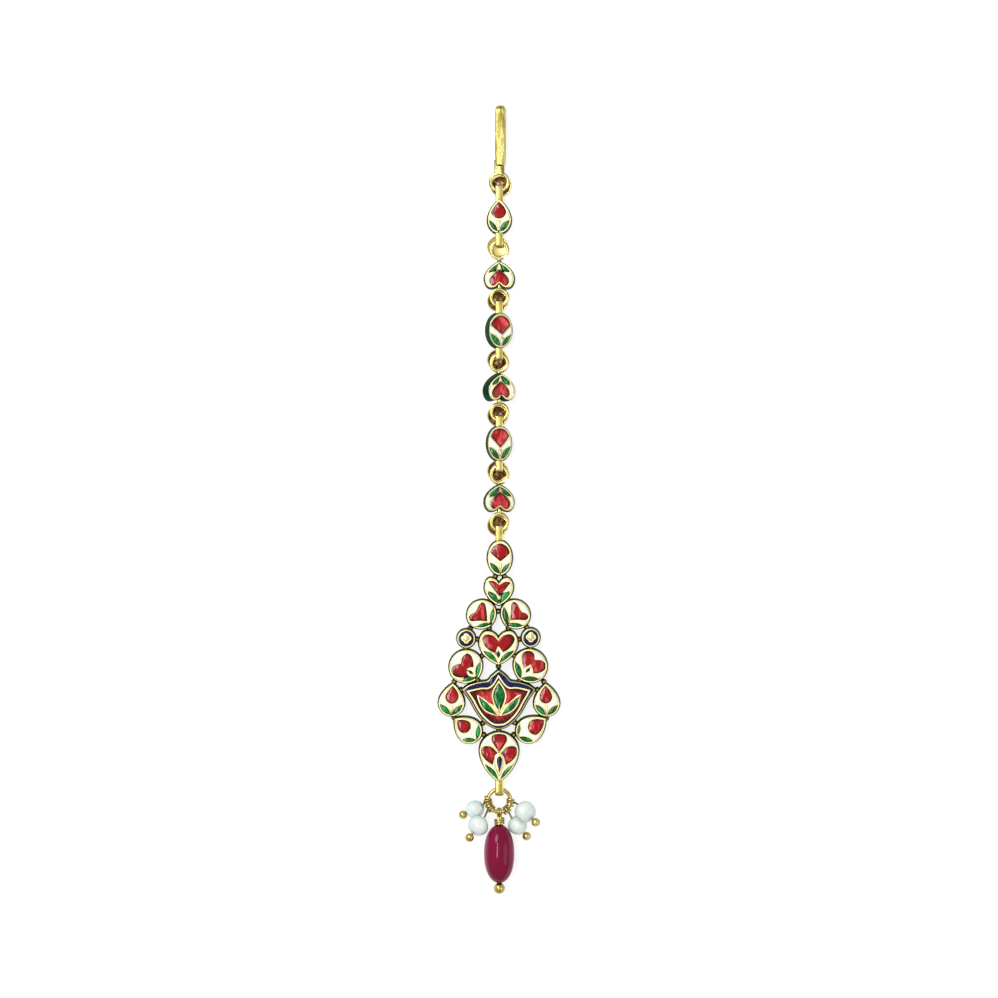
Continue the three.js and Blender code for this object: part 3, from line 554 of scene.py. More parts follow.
def pearl_material():
    look, shader = principled("pearl", 0.28, Coat_Weight=0.3, Coat_Roughness=0.12,
                              Subsurface_Weight=0.1, Subsurface_Scale=0.0008)
    clouds = ramp(look, noise(look, 420, 3), [(0.35, tone(222, 234, 231)), (0.65, tone(246, 249, 244))])
    # Flanks that face sideways are painted blue-grey, a painted shade
    with_painted_shade = mix(look, flatness(look, 0.05, 0.8), tone(180, 206, 206), clouds)
    join(look, with_painted_shade, shader.inputs["Base Color"])
    bump(look, shader, noise(look, 600, 2), 0.08, 0.6)
    return look


def ruby_material():
    look, shader = principled("ruby", 0.1, Specular_IOR_Level=0.3)
    clouds = noise(look, 300, 3, 0.5, 0.3, (1, 0.4, 1))
    veins = ramp(look, clouds, [(0.3, tone(108, 0, 44)), (0.7, tone(144, 0, 62))])
    join(look, veins, shader.inputs["Base Color"])
    bump(look, shader, noise(look, 380, 3, 0.5, 0.4, (1, 0.5, 1)), 0.02, 0.5)
    return look


def diamond_material():
    """A stone seen from behind, whose facets are painted brown, pink and white at random, painted glints for
    the light they catch.
    """
    look, shader = principled("diamond", 0.1, Specular_IOR_Level=0.4, IOR=1.5)
    painted_glints = ramp(look, shade_of(look), [(0.0, tone(52, 28, 12)), (0.35, tone(140, 90, 40)),
                                        (0.6, tone(206, 156, 106)), (0.92, tone(250, 236, 216))])
    join(look, painted_glints, shader.inputs["Base Color"])
    return look


# Outlines are arrays of points in anticlockwise order

def round_turns(count):
    return np.linspace(0, 2 * math.pi, count, endpoint=False)


def unit(rows):
    """The rows made one long; one without a length stays."""
    return rows / np.maximum(np.linalg.norm(rows, axis=-1, keepdims=True), TINY)


def hermite(here, start, there, stop, share):
    """Points on the way from here to there, with a slope at either end."""
    square, cube = share ** 2, share ** 3
    return ((2 * cube - 3 * square + 1) * here + (cube - 2 * square + share) * start
            + (3 * square - 2 * cube) * there + (cube - square) * stop)


def cubic(a, b, c, d, steps):
    share = np.linspace(0, 1, steps + 1)[:-1, None]
    rest = 1 - share
    a, b, c, d = (np.array(p, float) for p in (a, b, c, d))
    return rest ** 3 * a + 3 * rest ** 2 * share * b + 3 * rest * share ** 2 * c + share ** 3 * d


def petal(form, width, length, steps=12):
    """A heart, or without a cleft a pear, from its tip at the origin up to its lobes."""
    side = (width / 2, form["belly"] * length)
    top = (form["lobe"] * width, length)
    point = (form["blunt"] * width, form["rise"] * length)
    runs = [
        cubic((0, 0), point, (side[0], side[1] * PETAL_SHOULDER), side, steps),
        cubic(side, (side[0], side[1] + PETAL_ROUNDING * (top[1] - side[1])),
              (top[0] + PETAL_ROUNDING * (side[0] - top[0]), top[1]), top, steps),
    ]
    end = top
    if form["cleft"]:
        end = (0, length * (1 - form["cleft"]))
        runs.append(cubic(top, (top[0] * (1 - PETAL_ROUNDING), top[1]),
                          (top[0] * 0.15, length * (1 - form["cleft"] / 2)), end, steps))
    right = np.vstack(runs + [np.array([end], float)])
    return np.vstack([right, right[-2:0:-1] * (-1, 1)])


def oval(width, length):
    turn = round_turns(OVAL_STEPS)
    return np.stack([width / 2 * np.cos(turn), length / 2 * np.sin(turn)], axis=1)


def curve(points, steps=6):
    """A smooth closed outline through points; one with a third value is a corner."""
    count = len(points)
    places = [np.array(p[:2], float) for p in points]
    share = np.linspace(0, 1, steps + 1)[:-1, None]
    runs = []
    for i in range(count):
        here, there = places[i], places[(i + 1) % count]
        start = there - here if len(points[i]) > 2 else (there - places[i - 1]) / 2
        beyond = places[(i + 2) % count]
        stop = there - here if len(points[(i + 1) % count]) > 2 else (beyond - here) / 2
        runs.append(hermite(here, start, there, stop, share))
    return anticlockwise(np.vstack(runs))


def anticlockwise(outline):
    ahead = np.roll(outline, -1, axis=0)
    area = np.sum(outline[:, 0] * ahead[:, 1] - outline[:, 1] * ahead[:, 0])
    return outline if area > 0 else outline[::-1]


def tulip(width, length):
    right = [(p[0] * width, -p[1] * length) + tuple(p[2:]) for p in TULIP_HALF]
    left = [(-p[0],) + p[1:] for p in right[-2:0:-1]]
    return curve(right + left, 4)


def turned(outline, degrees):
    turn = math.radians(degrees)
    cos, sin = math.cos(turn), math.sin(turn)
    x, y = outline[:, 0], outline[:, 1]
    return np.stack([x * cos - y * sin, x * sin + y * cos], axis=1)


def clearance(points, outline):
    """How far each point is from the outline."""
    start = outline[None]
    span = np.roll(outline, -1, axis=0)[None] - start
    to_point = points[:, None] - start
    share = np.sum(to_point * span, axis=2) / np.maximum(np.sum(span ** 2, axis=2), TINY)
    apart = to_point - np.clip(share, 0, 1)[..., None] * span
    return np.min(np.linalg.norm(apart, axis=2), axis=1)


def inset(outline, distance):
    """The outline moved inwards, or outwards if negative, with the points that would cross gathered."""
    before = unit(outline - np.roll(outline, 1, axis=0))
    after = unit(np.roll(outline, -1, axis=0) - outline)
    mitre = np.maximum(1 + np.sum(before * after, axis=1), MITRE_LIMIT)
    inward = np.stack([-before[:, 1] - after[:, 1], before[:, 0] + after[:, 0]], axis=1)
    moved = outline + inward * (distance / mitre)[:, None]
    good = clearance(moved, outline) > abs(distance) * KEPT_SHARE
    count = len(outline)
    if good.all() or not good.any():
        return moved
    first = int(np.argmax(good))
    i = first
    while i < first + count:
        if good[i % count]:
            i += 1
            continue
        end = i
        while not good[end % count]:
            end += 1
        moved[np.arange(i, end) % count] = (moved[(i - 1) % count] + moved[end % count]) / 2
        i = end
    return moved


def kept_within(points, limit):
    """The points, with those outside the limit moved to the nearest place on it."""
    ahead = np.roll(limit, -1, axis=0)
    span = ahead - limit
    kept = points.copy()
    for i, point in enumerate(points):
        above = (limit[:, 1] > point[1]) != (ahead[:, 1] > point[1])
        rise = np.where(above, span[:, 1], 1)
        crossing = limit[:, 0] + (point[1] - limit[:, 1]) / rise * span[:, 0]
        if np.count_nonzero(above & (crossing > point[0])) % 2:
            continue
        share = np.sum((point - limit) * span, axis=1) / np.maximum(np.sum(span ** 2, axis=1), TINY)
        nearest = limit + np.clip(share, 0, 1)[:, None] * span
        kept[i] = nearest[np.argmin(np.linalg.norm(nearest - point, axis=1))]
    return kept


def middle_of(outline):
    return outline.mean(axis=0)


def raised(outline, height):
    return np.column_stack([outline, np.full(len(outline), height)])


def spun(profile, turns, centre):
    """A run of (radius, height) pairs, placed at each turn about an upright axis."""
    radius, height = np.array(profile).T
    return [np.column_stack([radius * math.cos(t), radius * math.sin(t), height]) + centre for t in turns]


# Meshes are gathered in millimetres and joined at the end

class Shape:
    def __init__(self, place):
        self.place = place
        self.points = []
        self.faces = []
        self.looks = []
        self.shades = []

    def loft(self, rings, look=0, around=False, shades=None):
        """Joins rings of as many points each, and closes the ends, or the last ring to the first."""
        count = len(rings[0])
        first = len(self.points)
        faces = []
        for k in range(len(rings) if around else len(rings) - 1):
            low, high = k * count, (k + 1) % len(rings) * count
            for i in range(count):
                j = (i + 1) % count
                faces.append((low + i, low + j, high + j, high + i))
        if not around:
            faces.append(tuple(range(count))[::-1])
            faces.append(tuple(range((len(rings) - 1) * count, len(rings) * count)))
        self.points += [tuple(p) for p in self.place(np.vstack(rings))]
        self.faces += [tuple(first + i for i in face) for face in faces]
        self.looks += [look] * len(faces)
        self.shades += [shade for shade in shades or [1.0] * len(rings) for _ in range(count)]

    def slab(self, levels, look):
        """A body from (outline, height, painted shade) rows."""
        rings = [raised(outline, height) for outline, height, _ in levels]
        self.loft(rings, look, shades=[shade for _, _, shade in levels])

    def lathe(self, profile, sides, centre=(0, 0, 0)):
        """Turns a closed run of (radius, height) pairs about an upright axis."""
        self.loft(spun(profile, round_turns(sides), centre), around=True)

    def tube(self, path, radius):
        """A round wire along a path, with rounded ends."""
        path = np.array(path, float)
        way = unit(np.gradient(path, axis=0))
        turn = round_turns(WIRE_SIDES)[:, None]
        side = np.cross(way[0], (0.3, 0.2, 1.0))
        rings = []
        for k, (point, along) in enumerate(zip(path, way)):
            side = unit(side - along * side.dot(along))
            ring = (np.cos(turn) * side + np.sin(turn) * np.cross(along, side)) * radius
            end = along * radius * WIRE_END
            if k == 0:
                rings.append(point - end + ring * WIRE_END_SIZE)
            rings.append(point + ring)
            if k == len(path) - 1:
                rings.append(point + end + ring * WIRE_END_SIZE)
        self.loft(rings)

    def blob(self, centre, radii, look=0, sides=20, rows=12):
        centre = np.array(centre, float)
        rings = []
        turn = round_turns(sides)
        for tilt in np.linspace(-math.pi / 2, math.pi / 2, rows + 1)[1:-1]:
            rings.append(centre + np.stack([
                radii[0] * math.cos(tilt) * np.cos(turn),
                radii[1] * math.cos(tilt) * np.sin(turn),
                np.full(sides, radii[2] * math.sin(tilt)),
            ], axis=1))
        self.loft(rings, look)

    def strip(self, path, halves, thickness, side=0.0):
        """A flat strip along a path in a YZ plane, with its half width at each point."""
        path = np.array(path, float)
        way = unit(np.gradient(path, axis=0))
        across, out = np.array(STRIP_SECTION).T
        lift = out * thickness / 2
        rings = [np.column_stack([side + across * half, y - along_z * lift, z + along_y * lift])
                 for (y, z), (along_y, along_z), half in zip(path, way, halves)]
        self.loft(rings)


def add_object(name, data):
    made = bpy.data.objects.new(name, data)
    bpy.context.scene.collection.objects.link(made)
    return made


def finish_piece(name, shape, looks, nodes=(), crease=32):
    mesh = bpy.data.meshes.new(name)
    mesh.from_pydata([(x * MM, y * MM, z * MM) for x, y, z in shape.points], [], shape.faces)
    for look in looks:
        mesh.materials.append(look)
    for face, look in zip(mesh.polygons, shape.looks):
        face.material_index = look
    shades = mesh.attributes.new("shade", "FLOAT", "POINT")
    shades.data.foreach_set("value", shape.shades)
    work = bmesh.new()
    work.from_mesh(mesh)
    bmesh.ops.remove_doubles(work, verts=work.verts, dist=1e-8)
    bmesh.ops.recalc_face_normals(work, faces=work.faces)
    work.to_mesh(mesh)
    work.free()
    mesh.shade_smooth()
    mesh.set_sharp_from_angle(angle=math.radians(crease))
    piece = add_object(name, mesh)
    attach(piece, "root")
    if nodes:
        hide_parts(*nodes)


# Boxes, their walls and their faces, and the places of two looks in the lists of the gold pieces
RIM_LOOK = 1
SOLDER_LOOK = 2


def wall_inset(height, depth):
    """How far the flared wall lies inside the box's outline at a height."""
    return FACE_INSET - (FACE_INSET + FOOT_SPREAD) * (depth - height) / depth


def add_box(shape, outline, depth, rim=RIM):
    """A gold box whose foot flares, with a pale rim round its recess, stepped for the wall's enamel."""
    shoulder = depth - WALL_DROP

    def wall(height, extra=0.0):
        return inset(outline, wall_inset(height, depth) + extra)

    floor = inset(outline, FACE_INSET + rim)
    edge = FACE_INSET + WALL_LAP
    rows = [
        (floor, depth - ENAMEL_DEPTH, 1), (floor, depth - LIP / 2, 1),
        (inset(outline, FACE_INSET + rim - LIP / 2), depth, 1), (inset(outline, edge + LIP / 2), depth, 1),
        (inset(outline, edge), depth - LIP / 2, 1), (inset(outline, edge), shoulder, 1),
        (wall(shoulder, WALL_GROOVE), shoulder - HAIR, 1),
        (wall(WALL_LOW, WALL_GROOVE), WALL_LOW + HAIR, 1), (wall(WALL_LOW), WALL_LOW, 1),
        (wall(LIP), LIP, 1), (wall(0, LIP), 0, 1),
    ]
    shape.slab(rows, RIM_LOOK)


def add_wall(shape, outline, depth):
    """Green enamel in the groove round the box's wall, lapping over its shoulder up to the rim."""
    low = WALL_LOW + 2 * HAIR
    high = depth - WALL_DROP
    lap = WALL_LAP - HAIR
    # The shade falls from 1 to 0.2 where the enamel laps up under the rim, a painted shade
    section = [(low, 5 * HAIR, 1), (low, HAIR, 1), ((low + high) / 2, -HAIR, 1), (high, HAIR, 0.9),
               (depth - 5 * HAIR, 3 * HAIR, 0.7), (depth - 2.5 * HAIR, lap, 0.2), (high, lap, 0.2)]
    rings = [raised(inset(outline, wall_inset(height, depth) + extra), height)
             for height, extra, _ in section]
    shape.loft(rings, around=True, shades=[shade for _, _, shade in section])


WHITE_LOOK, LINE_LOOK, RED_LOOK, GREEN_LOOK, NAVY_LOOK, CREAM_LOOK = range(6)
FACE_LOOKS = [WHITE, LINE_GOLD, RED, GREEN, NAVY, PALE_GOLD]
CELL_LOOKS = {"red": RED_LOOK, "green": GREEN_LOOK, "navy": NAVY_LOOK, "cream": CREAM_LOOK}


def add_cell(shape, outline, look, depth, level, lined=True, swell=1.0):
    """A pool of enamel with a gold line round it; a cell on another has a higher level."""
    line_top = depth + HAIR / 2 + LEVEL_RISE * level
    bottom = depth - GROUND_DROP - CELL_SINK
    if lined:
        border = inset(outline, -LINE)
        shape.slab([(border, bottom, 1), (border, line_top - 2 * HAIR, 1),
                    (inset(border, 3 * HAIR), line_top, 1)], LINE_LOOK)
    centre = middle_of(outline)
    # The bottom of the cell carries the darkest painted shade
    rows = [(outline, bottom + 2 * HAIR, 0.0)]
    for share, rise, shade in DOME:
        rows.append((centre + (outline - centre) * share, line_top + rise * swell, shade))
    shape.slab(rows, look)


def leaf(start, end, width, away_from):
    """A pointed leaf between two points, whose middle bows away from a point."""
    start, end = np.array(start, float), np.array(end, float)
    start, end = start - (end - start) * LEAF_REACH, end + (end - start) * LEAF_REACH
    along = end - start
    across = unit(np.array([-along[1], along[0]]))
    if across.dot((start + end) / 2 - away_from) < 0:
        across = -across
    share = np.linspace(0, 1, LEAF_STEPS + 1)[:, None]
    bow = np.sin(math.pi * share)
    spine = start + along * share + across * (LEAF_BOW * np.linalg.norm(along)) * bow
    side = across * width / 2 * bow ** LEAF_POINT
    return anticlockwise(np.vstack([spine + side, (spine - side)[-2:0:-1]]))


def stem(start, end, start_width, end_width):
    """A straight stem between two points, with its width at either end."""
    start, end = np.array(start, float), np.array(end, float)
    along = unit(end - start)
    across = np.array([-along[1], along[0]]) / 2
    corners = [start - across * start_width, start + across * start_width,
               end + across * end_width, end - across * end_width]
    return curve([tuple(c) + (C,) for c in corners], 3)


def quatrefoil(radius):
    """A flower of four round petals."""
    turn = round_turns(QUATREFOIL_STEPS)
    reach = radius * (0.62 + 0.38 * np.abs(np.cos(2 * turn)))
    return np.stack([reach * np.cos(turn), reach * np.sin(turn)], axis=1)


def rim_of(name):
    return TULIP_RIM if name == "tulip" else RIM


def add_face(shape, name, outline, depth, to_local):
    """The enamelled face of a box: a gold border, its ground, then its cells in order."""
    rim = rim_of(name)
    bed = inset(outline, FACE_INSET + rim - HAIR)
    rows = FACES[name]
    navy = rows[0][0] == "navy ground"
    shape.slab([(bed, depth - ENAMEL_DEPTH + 5 * HAIR, 1), (bed, depth - 5 * HAIR, 1),
                (inset(bed, 4 * HAIR), depth - 3 * HAIR, 1)], LINE_LOOK)
    edge = inset(bed, BORDER)
    # The ground is painted darker at its edge along the gold border, a painted shade
    shape.slab([(edge, depth - GROUND_DROP - CELL_SINK, 0), (edge, depth - 4 * HAIR, 0),
                (inset(edge, 6 * HAIR), depth - 1.5 * HAIR, 0.4),
                (inset(edge, GROUND_SLOPE), depth - HAIR / 2, 1)], NAVY_LOOK if navy else WHITE_LOOK)
    centre = middle_of(outline)
    limit = inset(outline, FACE_INSET + rim + (NAVY_BAND if navy else 3 * HAIR))
    for row in rows[1 if navy else 0:]:
        kind, *notes = row[0].split()
        level = next((int(note) for note in notes if note.isdigit()), 0)
        swell = FLAT_SWELL if "flat" in notes else 1.0
        if kind == "leaf":
            cell = leaf(to_local(row[1]), to_local(row[2]), row[3] * STEP * LEAF_FULLNESS, centre)
            add_cell(shape, kept_within(cell, limit), GREEN_LOOK, depth, level)
        elif kind == "stem":
            cell = stem(to_local(row[1]), to_local(row[2]), row[3] * STEP, row[4] * STEP)
            add_cell(shape, cell, CREAM_LOOK, depth, level, False)
        elif kind == "heart":
            heart = np.array(to_local(row[1])) - petal(CELL_HEART_FORM, row[2] * STEP, row[3] * STEP, 8)
            add_cell(shape, kept_within(anticlockwise(heart), limit), RED_LOOK, depth, level)
        elif kind == "quatrefoil":
            cell = np.array(to_local(row[1])) + quatrefoil(row[2] * STEP)
            add_cell(shape, cell, CREAM_LOOK, depth, level)
        else:
            cell = kept_within(curve([tuple(to_local(p)) + tuple(p[2:]) for p in row[1:]]), limit)
            add_cell(shape, cell, CELL_LOOKS[kind], depth, level, kind != "cream", swell)


# Rings, straps, collets and stones

def ring_section(inner):
    """The section of a ring's wire, an oval with flattened sides."""
    def soft(value):
        return math.copysign(abs(value) ** RING_SOFTNESS, value)

    middle = inner + RING_WIRE / 2
    return [(middle + RING_WIRE / 2 * soft(math.cos(t)), RING_THICKNESS / 2 * soft(math.sin(t)))
            for t in round_turns(RING_SIDES)]


def add_ring(shape, centre_y, inner, gap=None):
    """A flat ring; gap is the (middle, width) in degrees of the opening that its ends leave."""
    section = ring_section(inner)
    centre = (0, centre_y, RING_HEIGHT)
    if gap:
        start = gap[0] + gap[1] / 2
        turns = np.radians(np.linspace(start, start + 360 - gap[1], OPEN_RING_STEPS))
        shape.loft(spun(section, turns, centre))
    else:
        shape.lathe(section, RING_STEPS, centre)


def add_strap(shape, edge_y, direction, reach, half_wire, width=STRAP_WIDTH):
    """A loop of flat strip over a wire, whose bend narrows to a tongue."""
    gap = half_wire + STRAP_PLAY + STRAP_THICKNESS / 2
    depth = gap * STRAP_BEND
    bend = reach - STRAP_THICKNESS / 2 - depth
    path = [(s, -gap) for s in np.linspace(-STRAP_ROOT, bend, 8)]
    turns = np.linspace(-math.pi / 2, math.pi / 2, 13)[1:-1]
    path += [(bend + depth * math.cos(t), gap * math.sin(t)) for t in turns]
    path += [(s, gap) for s in np.linspace(bend, -STRAP_ROOT, 8)]
    tongue = STRAP_WIDTH * TONGUE_LENGTH
    halves = []
    for s, _ in path:
        past = min(max((s - reach + tongue) / tongue, 0), 1)
        halves.append(width / 2 * (1 - TONGUE_TAPER * past ** 6))
    shape.strip([(edge_y + direction * s, RING_HEIGHT + z) for s, z in path], halves, STRAP_THICKNESS)


def add_collet(shape, x, y, closed):
    """A cup round a stone, with a rounded edge, a lip under the stone and an open or closed back."""
    outer = COLLET_RADIUS
    inner = outer - COLLET_WALL
    top = COLLET_DEPTH
    shape.lathe([
        (inner - COLLET_LIP, 0.02), (outer - 0.12, 0), (outer - 0.02, 0.12), (outer, 0.4),
        (outer - 0.05, top - 0.12), (outer - 0.14, top - 0.02), (inner + 0.08, top - 0.03),
        (inner + 0.01, top - 0.14), (inner, DIAMOND_LIFT + 0.1), (inner - COLLET_LIP, DIAMOND_LIFT - 0.02),
    ], RING_STEPS, (x, y, 0))
    if closed:
        back = DIAMOND_LIFT + DIAMOND_DEPTH + 2 * HAIR
        shape.lathe([(HAIR, back), (inner + 0.05, back), (inner + 0.05, back + 0.1),
                     (inner * 0.8, back + 0.05), (HAIR, back + 0.03)], RING_STEPS, (x, y, 0))


def add_diamond(name, stone_x, y):
    """A brilliant with its table down, as the hull of its corners."""
    girdle = COLLET_RADIUS - COLLET_WALL - DIAMOND_PLAY
    crown = DIAMOND_DEPTH * DIAMOND_CROWN
    corners = [(0, 0, DIAMOND_LIFT + DIAMOND_DEPTH)]
    for count, radius, turn, height in DIAMOND_ROWS:
        for i in range(count):
            angle = 2 * math.pi * (i + turn) / count
            corners.append((girdle * radius * math.cos(angle), girdle * radius * math.sin(angle),
                            DIAMOND_LIFT + crown * height))
    mesh = bpy.data.meshes.new(name)
    work = bmesh.new()
    for x, dy, z in corners:
        work.verts.new(((stone_x + x) * MM, (y + dy) * MM, z * MM))
    bmesh.ops.convex_hull(work, input=work.verts)
    bmesh.ops.dissolve_limit(work, angle_limit=math.radians(1), verts=work.verts, edges=work.edges)
    bmesh.ops.recalc_face_normals(work, faces=work.faces)
    work.to_mesh(mesh)
    work.free()
    mesh.materials.append(DIAMOND)
    # Each facet carries a random brightness, a painted glint; the outer facets are painted darker, a painted
    # shade
    shades = mesh.attributes.new("shade", "FLOAT", "FACE")
    for i, face in enumerate(mesh.polygons):
        away = math.hypot(face.center.x / MM - stone_x, face.center.y / MM - y)
        shades.data[i].value = FACET_DICE.random() * (OUTER_SHADE if away > girdle * OUTER_FACETS else 1)
    stone = add_object(f"stone_{name}", mesh)
    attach(stone, "root")
    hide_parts(name)


def add_neck(shape, ring_y, box_y, solder_y):
    """The soldered joint from a ring to its heart."""
    low, high = sorted((ring_y, box_y))
    radii = (NECK_WIDTH / 2, (high - low) / 2 + NECK_OVERLAP, RING_THICKNESS * 0.55)
    shape.blob((0, (low + high) / 2, RING_HEIGHT), radii)
    shape.blob((0, solder_y, RING_HEIGHT + 0.05), NECK_SOLDER, SOLDER_LOOK)


DIAMOND = diamond_material()
PEARL = pearl_material()
RUBY = ruby_material()
LINK_LOOKS = [DULL_GOLD, PALE_GOLD, SOLDER_GOLD]
HOOK_LOOKS = [BRUSHED_GOLD, PALE_GOLD, SOLDER_GOLD]

# The chain hangs from the hook's ring, on the line through the jump ring's middle
low_corner, high_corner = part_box("jump_ring")
axis_x = (low_corner[0] + high_corner[0]) / 2 / MM
hook_ring_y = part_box("hook")[1][1] / MM - HOOK_LENGTH
stone_count = 0
FACET_DICE = random.Random(7)


def upright(top_y):
    return lambda points: points + (axis_x, top_y, 0)


def tilted(top_y, degrees, width):
    """Turns a link about the chain as it lies, towards +X, and lifts it on to its lower edge."""
    tilt = math.radians(degrees)
    lift = math.cos(tilt) * LINK_DEPTH / 2 + math.sin(tilt) * (width / 2 + FOOT_SPREAD)

    def place(points):
        x, y, z = points[:, 0], points[:, 1], points[:, 2] - LINK_DEPTH / 2
        return np.column_stack([
            x * math.cos(tilt) + z * math.sin(tilt) + axis_x,
            y + top_y,
            -x * math.sin(tilt) + z * math.cos(tilt) + lift,
        ])
    return place


def strap_and_stone(shape, top_y, edge_y, direction, reach, slip=1):
    global stone_count
    stone_count += 1
    collet_y = edge_y + direction * (reach - COLLET_OFFSET)
    add_strap(shape, edge_y, direction, reach - STRAP_END, RING_THICKNESS / 2)
    add_collet(shape, COLLET_SIDE * slip, collet_y, stone_count == CLOSED_COLLET)
    add_diamond(f"diamond_{stone_count}", axis_x + COLLET_SIDE * slip, top_y + collet_y)


def build_link(name, kind, degrees, above, below, slip, top_y):
    form, width, length = kind["form"], kind["width"], kind["length"]
    outline = -petal(form, width, length) if form else oval(width, length) - (0, length / 2)
    lie = tilted(top_y, degrees, width)
    shape = Shape(lie)
    add_box(shape, outline, LINK_DEPTH)
    shape.place = upright(top_y)
    bottom_y = -length * (1 - form["cleft"] if form else 1)
    if kind["rings"]:
        top_ring = TIP_REACH * above
        bottom_ring = bottom_y - CLEFT_REACH * below
        inner = RING_HOLE_RADIUS + RING_WIRE / 2
        add_ring(shape, top_ring, RING_HOLE_RADIUS, OPEN_RINGS.get(name))
        add_ring(shape, bottom_ring, RING_HOLE_RADIUS)
        add_neck(shape, top_ring - inner, 0, -0.05)
        add_neck(shape, bottom_ring + inner, bottom_y, bottom_y + 0.05)
    else:
        strap_and_stone(shape, top_y, 0, 1, STRAP_REACH * above, slip)
        strap_and_stone(shape, top_y, bottom_y, -1, STRAP_REACH * below)
    finish_piece(f"body_{name}", shape, LINK_LOOKS, [f"link_{name}"])
    wall = Shape(lie)
    add_wall(wall, outline, LINK_DEPTH)
    finish_piece(f"wall_{name}", wall, [WALL])
    tilt = math.radians(degrees)

    def to_local(point):
        x = (point[0] - GRID_X) * STEP - math.sin(tilt) * LINK_DEPTH / 2
        return x / math.cos(tilt), (GRID_Y - point[1]) * STEP - top_y

    face = Shape(lie)
    add_face(face, name, outline, LINK_DEPTH, to_local)
    finish_piece(f"face_{name}", face, FACE_LOOKS, [f"enamel_{name}"])
    return top_y + bottom_y


def build_hook(ring_y):
    """A flat strip bent back under itself, with a ring soldered below it."""
    shape = Shape(upright(ring_y))
    top = RING_HEIGHT + RING_THICKNESS / 2 + HOOK_THICKNESS * 0.6
    mid = (top - HOOK_THICKNESS) / 2
    bend_y = HOOK_LENGTH - top / 2
    start_y = HOOK_RING_HOLE_RADIUS + RING_WIRE + HOOK_NECK
    end_y = HOOK_LENGTH - HOOK_RETURN
    high, low = top - HOOK_THICKNESS / 2, HOOK_THICKNESS / 2
    path = [(y, high) for y in np.linspace(start_y, bend_y, 16)]
    turns = np.linspace(math.pi / 2, -math.pi / 2, 13)[1:-1]
    path += [(bend_y + mid * math.cos(t), top / 2 + mid * math.sin(t)) for t in turns]
    path += [(y, low) for y in np.linspace(bend_y, end_y, 10)]
    halves = []
    for y, z in path:
        near_top = min(max((y - bend_y + 0.2) / (HOOK_LENGTH - bend_y), 0), 1)
        half = HOOK_WIDTH / 2 * (1 - HOOK_END_TAPER * near_top ** 2.2)
        if z == high:
            taper = min(max((start_y + HOOK_TAPER - y) / HOOK_TAPER, 0), 1)
            half *= 1 - HOOK_ROOT_TAPER * taper
        halves.append(half)
    shape.strip(path, halves, HOOK_THICKNESS, side=HOOK_SIDE)
    add_ring(shape, 0, HOOK_RING_HOLE_RADIUS)
    neck_start = HOOK_RING_HOLE_RADIUS + RING_WIRE / 2
    neck = [(y, RING_HEIGHT) for y in np.linspace(neck_start, start_y + HOOK_TAPER, 10)]
    shape.strip(neck, [HOOK_WIDTH * 0.47] * len(neck), RING_THICKNESS)
    shape.blob((0.1, start_y + 0.05, RING_HEIGHT + 0.32), HOOK_SOLDER, SOLDER_LOOK)
    finish_piece("hook_strip", shape, HOOK_LOOKS, ["hook"])


column_step = PENDANT_WIDTH / GRID_COLUMNS
row_step = PENDANT_HEIGHT / GRID_ROWS


def cluster_outline(row):
    _, form, x, y, width, length, turn = row
    if form == "tulip":
        outline = tulip(width, length)
    elif form is None:
        outline = oval(width, length)
    else:
        outline = petal(form, width, length)
    return (turned(outline, turn) + (x, -y)) * (column_step, row_step)


def build_pendant(top_y):
    shape = Shape(upright(top_y))
    walls = Shape(upright(top_y))
    outlines = {row[0]: cluster_outline(row) for row in CLUSTER}
    for name, outline in outlines.items():
        add_box(shape, outline, PENDANT_DEPTH, rim_of(name))
        add_wall(walls, outline, PENDANT_DEPTH)
    for x, y in SOLDER:
        shape.blob((x * column_step, -y * row_step, PENDANT_DEPTH * 0.5),
                   (SOLDER_RADIUS, SOLDER_RADIUS, PENDANT_DEPTH * SOLDER_HEIGHT), SOLDER_LOOK, 14, 8)
    strap_and_stone(shape, top_y, 0, 1, STRAP_REACH * CLUSTER_PLAY)
    add_strap(shape, -PENDANT_HEIGHT, -1, BAIL_REACH, JUMP_WIRE_RADIUS, BAIL_WIDTH)
    finish_piece("pendant_cluster", shape, LINK_LOOKS, ["pendant_frame"])
    finish_piece("pendant_walls", walls, [WALL])

    def to_local(point):
        return (point[0] - GRID_X) * column_step, -(point[1] - PENDANT_GRID_Y) * row_step

    for name, outline in outlines.items():
        face = Shape(upright(top_y))
        add_face(face, name, outline, PENDANT_DEPTH, to_local)
        finish_piece(f"face_{name}", face, FACE_LOOKS, [f"enamel_{name}"])
    return top_y - PENDANT_HEIGHT


def wraps(angle, turns):
    """Turns of thin wire fanned about an angle of the jump ring, with both ends under the ring."""
    path = []
    steps = turns * WRAP_STEPS
    for i in range(steps + 1):
        turn = 2 * math.pi * turns * i / steps - math.pi / 2
        way = angle + (i / steps - 0.5) * turns * WRAP_PITCH / JUMP_RING_RADIUS
        reach = JUMP_RING_RADIUS + WRAP_RADIUS * math.cos(turn)
        path.append(np.array([reach * math.cos(way), reach * math.sin(way), WRAP_RADIUS * math.sin(turn)]))
    return path


